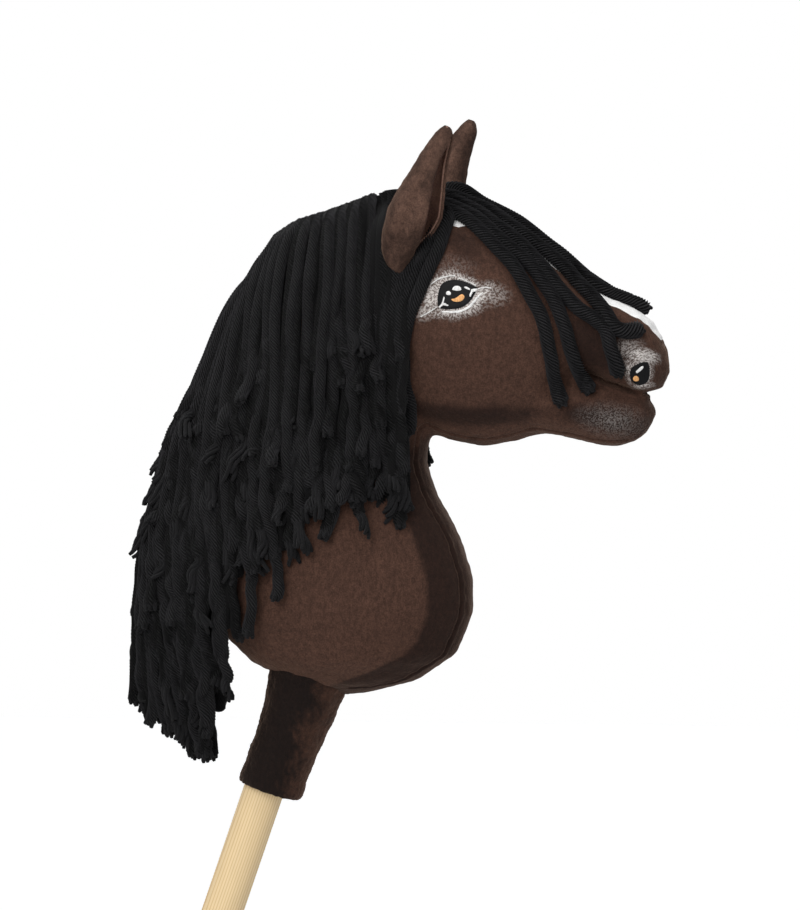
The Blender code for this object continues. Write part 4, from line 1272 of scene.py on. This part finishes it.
def new_line(data, count):
    """A new line with a number of points in a curve."""
    spline = data.splines.new("POLY")
    spline.points.add(count - 1)
    return spline


def yarn_section(name, count, hollow):
    """A cross-section of yarn with a number of points, hollowed between its plies, as a closed curve."""
    data = bpy.data.curves.new(name, "CURVE")
    data.dimensions = "2D"
    spline = new_line(data, count)
    for index, point in enumerate(spline.points):
        turn = math.tau * index / count
        radius = YARN_RADIUS * (1.0 - hollow * (1.0 - abs(math.cos(YARN_PLIES * turn / 2.0))))
        point.co = (radius * math.cos(turn), radius * math.sin(turn), 0.0, 1.0)
    spline.use_cyclic_u = True
    return link(name, data)


def even(line, spacing):
    """The same line with its points at an even spacing."""
    points = [line[0].copy()]
    left = spacing
    for start, end in zip(line, line[1:]):
        length = (end - start).length
        gone = 0.0
        while length - gone >= left:
            gone += left
            points.append(start.lerp(end, gone / length))
            left = spacing
        left -= length - gone
    return points


def eased(line, rounds):
    """The same line with its kinks smoothed out."""
    line = [point.copy() for point in line]
    for turn in range(rounds):
        line = [line[0]] + [(a + 2 * b + c) / 4 for a, b, c in zip(line, line[1:], line[2:])] + [line[-1]]
    return line


def anywhere(rng):
    """A random place to read noise from."""
    return Vector([rng.uniform(0, 100) for axis in "xyz"])


def lively(line, rng, sway, curl, kink, first):
    """The same line with a slow sway, waves that grow from a share of its length, and a bent end."""
    seed = anywhere(rng)
    bend = Vector((rng.uniform(-1, 1), rng.uniform(-1, 1), rng.uniform(-0.3, 0.5))) * curl
    phase, wave = rng.uniform(0.0, math.tau), rng.uniform(0.019, 0.031)
    made = []
    for index, point in enumerate(line):
        share = index / (len(line) - 1)
        along = index * YARN_STEP
        left = (len(line) - 1 - index) * YARN_STEP
        slow = noise.noise_vector(seed + Vector((along * 16.0, 0.0, 0.0)))
        quick = noise.noise_vector(seed + Vector((0.0, along * 48.0, 0.0)))
        rise = softened((share - first) / max(0.05, 0.85 - first))
        phase += math.tau * YARN_STEP / wave * (1.0 + 0.5 * quick.x)
        coil = Vector((math.cos(phase), 0.8 * math.sin(phase), 0.3 * math.sin(phase * 1.3)))
        slow = Vector((slow.x, slow.y * 0.35, slow.z * 0.35))
        shift = slow * sway * (0.35 + 0.65 * share) * min(1.0, share * 6.0)
        tail = max(0.0, 1.0 - left / 0.028) ** 2
        made.append(point + shift + (coil * 0.40 + quick * 2.0) * (kink * rise) + bend * tail)
    return made


def yarn_curve(name, section):
    """An empty curve that gives its lines the yarn's section and its two materials: the yarn and its darker copy in
    painted shade.
    """
    data = bpy.data.curves.new(name, "CURVE")
    data.dimensions = "3D"
    data.bevel_mode = "OBJECT"
    data.bevel_object = section
    data.use_fill_caps = True
    data.twist_mode = "MINIMUM"
    data.materials.append(YARN)
    data.materials.append(YARN_IN_PAINTED_SHADE)
    return data


def unravel(data, line, length, rng):
    """The last stretch of a strand as separate wavy plies that drift apart; the strand's rest is returned."""
    count = int(length / YARN_STEP)
    if len(line) < count + 12:
        return line
    start = len(line) - count
    turn = rng.uniform(0.0, math.tau)
    for ply in range(LOOSE_PLIES):
        seed = anywhere(rng)
        chosen = range(start - 3, len(line) - rng.randint(0, 3))
        for index, point in zip(chosen, new_line(data, len(chosen)).points):
            share = max(0.0, (index - start) / count)
            ahead = (line[min(index + 1, len(line) - 1)] - line[index - 1]).normalized()
            aside = ahead.cross(Vector((0.0, 1.0, 0.2))).normalized()
            other = ahead.cross(aside)
            angle = turn + math.tau * ply / LOOSE_PLIES + share * 2.6
            reach = YARN_RADIUS * (0.52 + 0.45 * softened(share))
            wave = noise.noise_vector(seed + Vector((index * YARN_STEP * 95.0, 0.0, 0.0))) * LOOSE_WAVE
            place = line[index] + (aside * math.cos(angle) + other * math.sin(angle)) * reach
            point.co = (*(place + wave * ease(share, 0.0, 0.5)), 1.0)
            point.tilt = angle * 2.0
            point.radius = LOOSE_RADIUS * (0.75 if index in (chosen[0], chosen[-1]) else 1.0) * (1.0 + 0.12 * share)
    return line[:start]


def lay_yarn(node, strands, sections, rng, swell, opened):
    """A lock: one strand of plied yarn on each line, its cut end opened into loose plies.

    Each strand is a line and its layer: 0 in front, 1 in the shadow behind, 2 deep in the lock, where it is plain;
    layers 1 and 2 take the yarn darkened as painted shade.
    """
    name = "yarn_" + node.removeprefix("mane_")
    plied, plain = yarn_curve(name, sections[0]), yarn_curve(name + "_plain", sections[1])
    for line, layer in strands:
        length = 0.0 if layer == 2 else rng.uniform(*opened)
        if length > LOOSE_SHORTEST:
            line = unravel(plain, line, length, rng)
        spline = new_line(plain if layer == 2 else plied, len(line))
        # Strands behind the front layer take the darker yarn: painted shade
        spline.material_index = int(layer > 0)
        start = rng.uniform(0.0, math.tau)
        size = swell * rng.uniform(0.93, 1.06)
        for index, (point, place) in enumerate(zip(spline.points, line)):
            left = (len(line) - 1 - index) * YARN_STEP
            point.co = (*place, 1.0)
            point.tilt = start - math.tau * index * YARN_STEP / YARN_PITCH
            loose = 1.0 + 0.20 * max(0.0, 1.0 - left / 0.016)
            point.radius = size * (loose if left > 0.0015 else 0.80)
        if length <= LOOSE_SHORTEST and layer < 2:
            fray(plain, line, rng)
    parts = [link(name, data) for data in (plied, plain)]
    for part in parts:
        pick(part)
        bpy.ops.object.convert(target="MESH")
    lock = joined(parts)
    smooth(lock, 75.0)
    dress(lock, name, "head", "yarn")
    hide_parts(node)


def fray(data, line, rng):
    """Loose plies that open out at the cut end of a strand."""
    tip = line[-1]
    down = (line[-1] - line[-5]).normalized()
    aside = down.orthogonal().normalized()
    other = down.cross(aside)
    turn = rng.uniform(0.0, math.tau)
    for ply in range(FRAYED_PLIES):
        angle = turn + math.tau * ply / FRAYED_PLIES + rng.uniform(-0.3, 0.3)
        out = aside * math.cos(angle) + other * math.sin(angle)
        reach = rng.uniform(0.0008, 0.0032)
        spread = rng.uniform(0.0002, 0.0012)
        points = new_line(data, len(FRAYED_RADII)).points
        for index, (point, radius) in enumerate(zip(points, FRAYED_RADII)):
            share = index / (len(points) - 1)
            place = tip - down * FRAYED_INSIDE + out * (0.0019 + spread * share ** 1.5)
            place += down * ((reach + FRAYED_INSIDE) * share)
            place += aside * (rng.uniform(-0.0004, 0.0004) * share)
            point.co = (*place, 1.0)
            point.tilt = angle + share * 2.2
            point.radius = radius


def mane_nodes():
    """The names of the frame's mane locks."""
    return [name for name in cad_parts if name.startswith("mane_lock")]


def mane_surface():
    """The outside of all mane locks as a smooth form."""
    form = merged_copy("mane_form", *mane_nodes())
    work(form, "REMESH", mode="VOXEL", voxel_size=0.004)
    work(form, "SMOOTH", iterations=10, factor=0.5)
    tree = tree_of(form)
    bpy.data.objects.remove(form, do_unlink=True)
    return tree


def fall_line(place, parts):
    """The line of fall at a place from 0, the front, to 1, the back, with its x and z as x and y."""
    index, share = divmod(min(max(place, 0.0), 0.9999) * (len(MANE_LINES) - 1), 1.0)
    pairs = zip(MANE_LINES[int(index)], MANE_LINES[int(index) + 1])
    return curve_through([Vector(first).lerp(Vector(second), share).to_3d() for first, second in pairs], parts)


def outside_of(tree, x, z, side):
    """How far out a surface reaches at (x, z) on one side, or nothing."""
    hit = from_side(tree, x, z, side)[0]
    return None if hit is None or hit.y * side < 0 else abs(hit.y)


def hang(place, span, side, depth, mane, plush, inner=None):
    """A strand's line over the mane's form from one share of a fall line to another.

    Depth, below the form's outside, is a pair: at its start and at its end. Inner, where given, is the share of the
    way out to the outside instead.
    """
    if side > 0:
        place = FAR_START + place * (1.0 - FAR_START)
        if FAR_SHORT[0] < place < FAR_SHORT[1]:
            span = (min(span[0], FAR_SHORT[2]), min(span[1], FAR_SHORT[2]))
    flat = fall_line(place, 14)
    top, bottom = (int(len(flat) * min(1.0, share)) for share in span)
    flat = flat[top:max(top + 6, bottom)]
    line = []
    for index, point in enumerate(flat):
        share = index / (len(flat) - 1)
        down = span[0] + (span[1] - span[0]) * share
        x = point.x + YARN_RADIUS * ease(place, 0.60, 0.95)
        z = point.y - YARN_RADIUS * (1.0 - ease(down, 0.0, 0.12))
        sunk = depth[0] + (depth[1] - depth[0]) * ease(share, 0.0, 0.8)
        reach = outside_of(mane, x, z, side)
        if reach is None:
            reach = (abs(line[-1].y) if line else 0.0) + YARN_RADIUS + sunk
        out = reach - YARN_RADIUS - sunk if inner is None else (reach - YARN_RADIUS) * inner
        skin = outside_of(plush, x, z, side)
        if skin is not None:
            out = max(out, skin + YARN_RADIUS * 0.8)
        out = max(out, 0.0015)
        if index == 0 and span[0] == 0.0:
            out = min(out, 0.004)
        line.append(Vector((x, side * out, z)))
    return even(eased(line, 6), YARN_STEP)


def spaced_places(side, mane, low, high, spacing):
    """Places across the mane that lie an even distance apart at mid height."""
    chosen, gone, before = [low], 0.0, None
    for index in range(PLACES_TRIED + 1):
        spot = low + (high - low) * index / PLACES_TRIED
        flat = fall_line(spot, 6)
        middle = flat[int(len(flat) * 0.55)]
        point = Vector((middle.x, outside_of(mane, middle.x, middle.y, side) or 0.004, middle.y))
        if before is not None:
            gone += (point - before).length
        if gone >= spacing:
            chosen.append(spot)
            gone = 0.0
        before = point
    return chosen


def share_out(strands, locks, end):
    """Give each strand to the nearest mane lock of its side that isn't full yet."""
    names = [name for name in locks if "_" + end + "_" in name]
    sizes = [len(line) * (0.4 if layer == 2 else 1.0) for line, layer in strands]
    full = 1.15 * sum(sizes) / len(names)
    groups = {name: [] for name in names}
    load = dict.fromkeys(names, 0.0)
    for strand, size in zip(strands, sizes):
        middle = strand[0][int(len(strand[0]) * 0.55)]
        nearest = sorted(names, key=lambda name: locks[name].find_nearest(middle)[3])
        chosen = next((name for name in nearest if load[name] < full), nearest[0])
        groups[chosen].append(strand)
        load[chosen] += size
    return groups


def mane_strands(side, mane, plush):
    """All strands of one side: a loose outer layer, one under it in yarn darkened as painted shade, curled ends and the
    tail's mass.
    """
    rng = random.Random(7 if side < 0 else 8)
    strands = []
    for place in CREST_PLACES + tuple(spaced_places(side, mane, 0.0, 1.0, YARN_SPACING * 1.55)):
        low, high = (0.84, 1.0) if place < 0.60 else (0.94, 1.0) if rng.random() < 0.75 else (0.70, 0.94)
        stop = rng.uniform(low, high)
        spot = min(1.0, max(0.0, place + rng.uniform(-0.006, 0.006)))
        depth = rng.uniform(-0.0006, 0.0026)
        line = hang(spot, (0.0, stop), side, (depth, depth), mane, plush)
        wild = 1.0 if place < 0.8 else 0.6
        kink = rng.uniform(0.0012, 0.0024) * wild
        strands.append((lively(line, rng, 0.0078 * wild, 0.0050 * wild, kink, rng.uniform(0.40, 0.66)), 0))
    for place in spaced_places(side, mane, 0.01, 0.99, YARN_SPACING * 1.25):
        depth = rng.uniform(0.0040, 0.0062)
        line = hang(place, (0.0, rng.uniform(0.88, 1.0)), side, (depth, depth * 0.4), mane, plush)
        strands.append((lively(line, rng, 0.0060, 0.005, rng.uniform(0.0012, 0.0026), rng.uniform(0.36, 0.55)), 1))
    for place in spaced_places(side, mane, 0.0, 1.0, YARN_SPACING * 1.05):
        depth = rng.uniform(0.0078, 0.0096)
        line = hang(place, (0.0, rng.uniform(0.72, 0.95)), side, (depth, depth * 0.8), mane, plush)
        strands.append((lively(line, rng, 0.0030, 0.004, 0.0010, 0.5), 2))
    for turn in range(SHORT_STRANDS):
        place = (turn + rng.uniform(0.1, 0.9)) / SHORT_STRANDS
        first = rng.uniform(0.34, 0.80)
        stop = min(1.0, first + rng.uniform(0.15, 0.26))
        line = hang(place, (first, stop), side, (0.0080, rng.uniform(-0.0022, 0.0016)), mane, plush)
        if len(line) > 12:
            kink = rng.uniform(0.0020, 0.0038) * (1.0 if place < 0.85 else 0.55)
            # Every third short strand takes the darker yarn: painted shade
            strands.append((lively(line, rng, 0.003, 0.006, kink, 0.12), 0 if turn % 3 else 1))
    for inner in (0.25, 0.62):
        for number in range(10):
            place = 0.60 + 0.042 * number + rng.uniform(-0.012, 0.012)
            line = hang(min(1.0, place), (0.0, rng.uniform(0.90, 1.0)), side, (0.0, 0.0), mane, plush, inner)
            strands.append((lively(line, rng, 0.0028, 0.006, 0.0020, 0.35), 2))
    for number, place in enumerate(TAIL_PLACES):
        line = hang(place, (0.50, 1.0), side, (0.0060, 0.0010 * (number % 3)), mane, plush)
        # Every other tail strand takes the darker yarn: painted shade
        strands.append((lively(line, rng, 0.0025, 0.003, 0.0012, 0.2), number % 2))
    for number, place in enumerate(PARTING_PLACES):
        line = hang(place, (0.05 * number, 1.0 - 0.06 * number), side, (0.0, 0.0), mane, plush, 0.0)
        strands.append((lively(line, rng, 0.0020, 0.003, 0.0012, 0.5), 0))
    return strands, rng


def make_mane(sections, plush):
    """The mane: the strands of both sides, gathered in the frame's locks."""
    mane = mane_surface()
    locks = {name: tree_of(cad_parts[name]) for name in sorted(mane_nodes())}
    for end, side in SIDES:
        strands, rng = mane_strands(side, mane, plush)
        groups = share_out(strands, locks, end)
        for node, group in groups.items():
            if not group:
                group.append(max(groups.values(), key=len).pop())
            lay_yarn(node, group, sections, rng, MANE_SWELL, MANE_OPENED)


def rest_on(tree, u, v):
    """The first point on a pixel's line of sight with room over the plush, or the nearest to it."""
    back = view_axes()[2]
    start = pixel_at_depth(u, v, -0.085)
    best = None
    for index in range(100):
        point = start - back * (index * 0.001)
        distance = tree.find_nearest(point)[3]
        if distance <= FORELOCK_ROOM:
            return point
        if best is None or distance < best[0]:
            best = (distance, point)
        elif distance > best[0] + 0.02:
            break
    return best[1]


def clear_of(tree, point):
    """A point pushed out of the plush until a strand has room."""
    place, normal, index, distance = tree.find_nearest(point)
    return place + normal * FORELOCK_ROOM if (point - place).dot(normal) < FORELOCK_ROOM else point


def make_forelock(sections, plush):
    """The forelock: strands over the face and behind the ear, mirrored with small changes on the far side."""
    locks = {}
    for number, (name, pixels) in enumerate(FORELOCK_PIXELS):
        rested = [rest_on(plush, u, v) for u, v in pixels]
        for end, side in SIDES:
            rng = random.Random(30 + number * 2 + (side > 0))
            x, y, z = FORELOCK_ROOT
            root = Vector((x, y * side, z))
            if "{}" in name:
                places = [Vector((place.x, abs(place.y) * side, place.z)) for place in rested]
            elif side > 0:
                aside, down = FORELOCK_FAR
                places = [Vector((place.x, place.y + aside, place.z - down)) for place in rested]
            else:
                places = rested
            stop, wild = (1.0, 0.0004) if side < 0 else (rng.uniform(0.86, 0.93), 0.0016)
            line = curve_through([root] + places, 8)
            line = even(eased(line[:int(len(line) * stop)], 2), YARN_STEP)
            line = lively(line, rng, wild, wild * 1.5, 0.0006, 0.4)
            line = eased([clear_of(plush, point) for point in line], 2)
            locks.setdefault(name.format(end), (rng, []))[1].append((line, 0))
    for node, (rng, strands) in locks.items():
        lay_yarn(node, strands, sections, rng, FORELOCK_SWELL, (0.0, 0.0))


# --- stick ---

def make_stick():
    """The dowel: a turned rod with eased ends."""
    stick = rod(STICK_RADIUS, STICK_BOTTOM, STICK_TOP, 96)
    pick(stick)
    bpy.ops.object.transform_apply(location=True, rotation=True, scale=True)
    work(stick, "BEVEL", width=STICK_EDGE, segments=4, limit_method="ANGLE", angle_limit=math.radians(60.0))
    smooth(stick, 35.0)
    dress(stick, "pine_stick", "stick", "pine", PINE)
    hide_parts("stick")


# --- surroundings ---

HORSE_MIDDLE = (0.08, 0.0, 0.30)
FLOOR_GAP = 0.0005


def make_light(name, place, size, power):
    """A large soft lamp aimed at the horse's middle."""
    data = bpy.data.lights.new(name, "AREA")
    data.shape = "DISK"
    data.size = size
    data.energy = power
    lamp = link(name, data)
    lamp.location = place
    lamp.rotation_mode = "QUATERNION"
    lamp.rotation_quaternion = (Vector(HORSE_MIDDLE) - Vector(place)).to_track_quat("-Z", "Y")


def make_studio():
    """White floor and surroundings, soft lamps."""
    bpy.ops.mesh.primitive_plane_add(size=14.0, location=(0.0, 0.0, cad_box[0][2] - FLOOR_GAP))
    floor = bpy.context.view_layer.objects.active
    pick(floor)
    bpy.ops.object.transform_apply(location=True, rotation=True, scale=True)
    floor.name = "studio_floor"
    made, tree = new_material("studio_floor", Roughness=0.9, Base_Color=(0.80, 0.80, 0.80, 1.0))
    shader = tree.nodes["Principled BSDF"].outputs[0]
    glow = step(tree, "Emission", (1.0, 1.0, 1.0, 1.0), 0.62)
    both = step(tree, "AddShader", shader, glow.outputs[0])
    seen = step(tree, "LightPath").outputs["Is Camera Ray"]
    surface = step(tree, "MixShader", seen, shader, both.outputs[0])
    tree.links.new(surface.outputs[0], tree.nodes["Material Output"].inputs["Surface"])
    floor.data.materials.append(made)
    world = bpy.data.worlds.new("studio")
    bpy.context.scene.world = world
    world.use_nodes = True
    tree = world.node_tree
    tree.nodes.clear()
    paths = step(tree, "LightPath").outputs
    seen = sums(tree, "MAXIMUM", paths["Is Camera Ray"], paths["Is Glossy Ray"])
    seen = sums(tree, "MAXIMUM", seen, paths["Is Transmission Ray"])
    soft = step(tree, "Background", (0.95, 0.97, 1.0, 1.0), 0.42)
    white = step(tree, "Background", (1.0, 1.0, 1.0, 1.0), 1.0)
    surface = step(tree, "MixShader", seen, soft.outputs[0], white.outputs[0])
    tree.links.new(surface.outputs[0], step(tree, "OutputWorld").inputs["Surface"])
    make_light("front_softbox", (-0.6, -2.6, 1.5), 1.8, 46.0)
    make_light("top_softbox", (0.2, -0.5, 2.4), 1.4, 26.0)
    make_light("far_side_softbox", (0.4, 2.4, 1.3), 1.6, 22.0)


def main():
    """Make the whole toy and its surroundings."""
    noise.seed_set(NOISE_SEED)
    make_camera()
    make_studio()
    plush = make_body()
    for node, voxel, shrink in (("neck_stuffing", 0.005, 0.0022), ("head_stuffing", 0.005, 0.0022),
                                ("jaw_stuffing", 0.004, 0.0022), ("cuff_stuffing", 0.002, 0.0006)):
        make_filling(node, voxel, shrink)
    make_cuff()
    for end, side in SIDES:
        make_ear(end, side)
    make_painted(plush)
    sections = (yarn_section("plied_section", 2 * YARN_PLIES, 0.30), yarn_section("plain_section", 8, 0.0))
    make_mane(sections, plush)
    make_forelock(sections, plush)
    for section in sections:
        bpy.data.objects.remove(section, do_unlink=True)
    make_stick()
    for node, finish in (("stick_channel", TUBE_COTTON), ("crest_tape", TAPE_CLOTH)):
        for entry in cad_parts[node].material_slots:
            entry.material = finish
    bpy.context.scene.view_settings.view_transform = "Standard"
    put_down()


main()
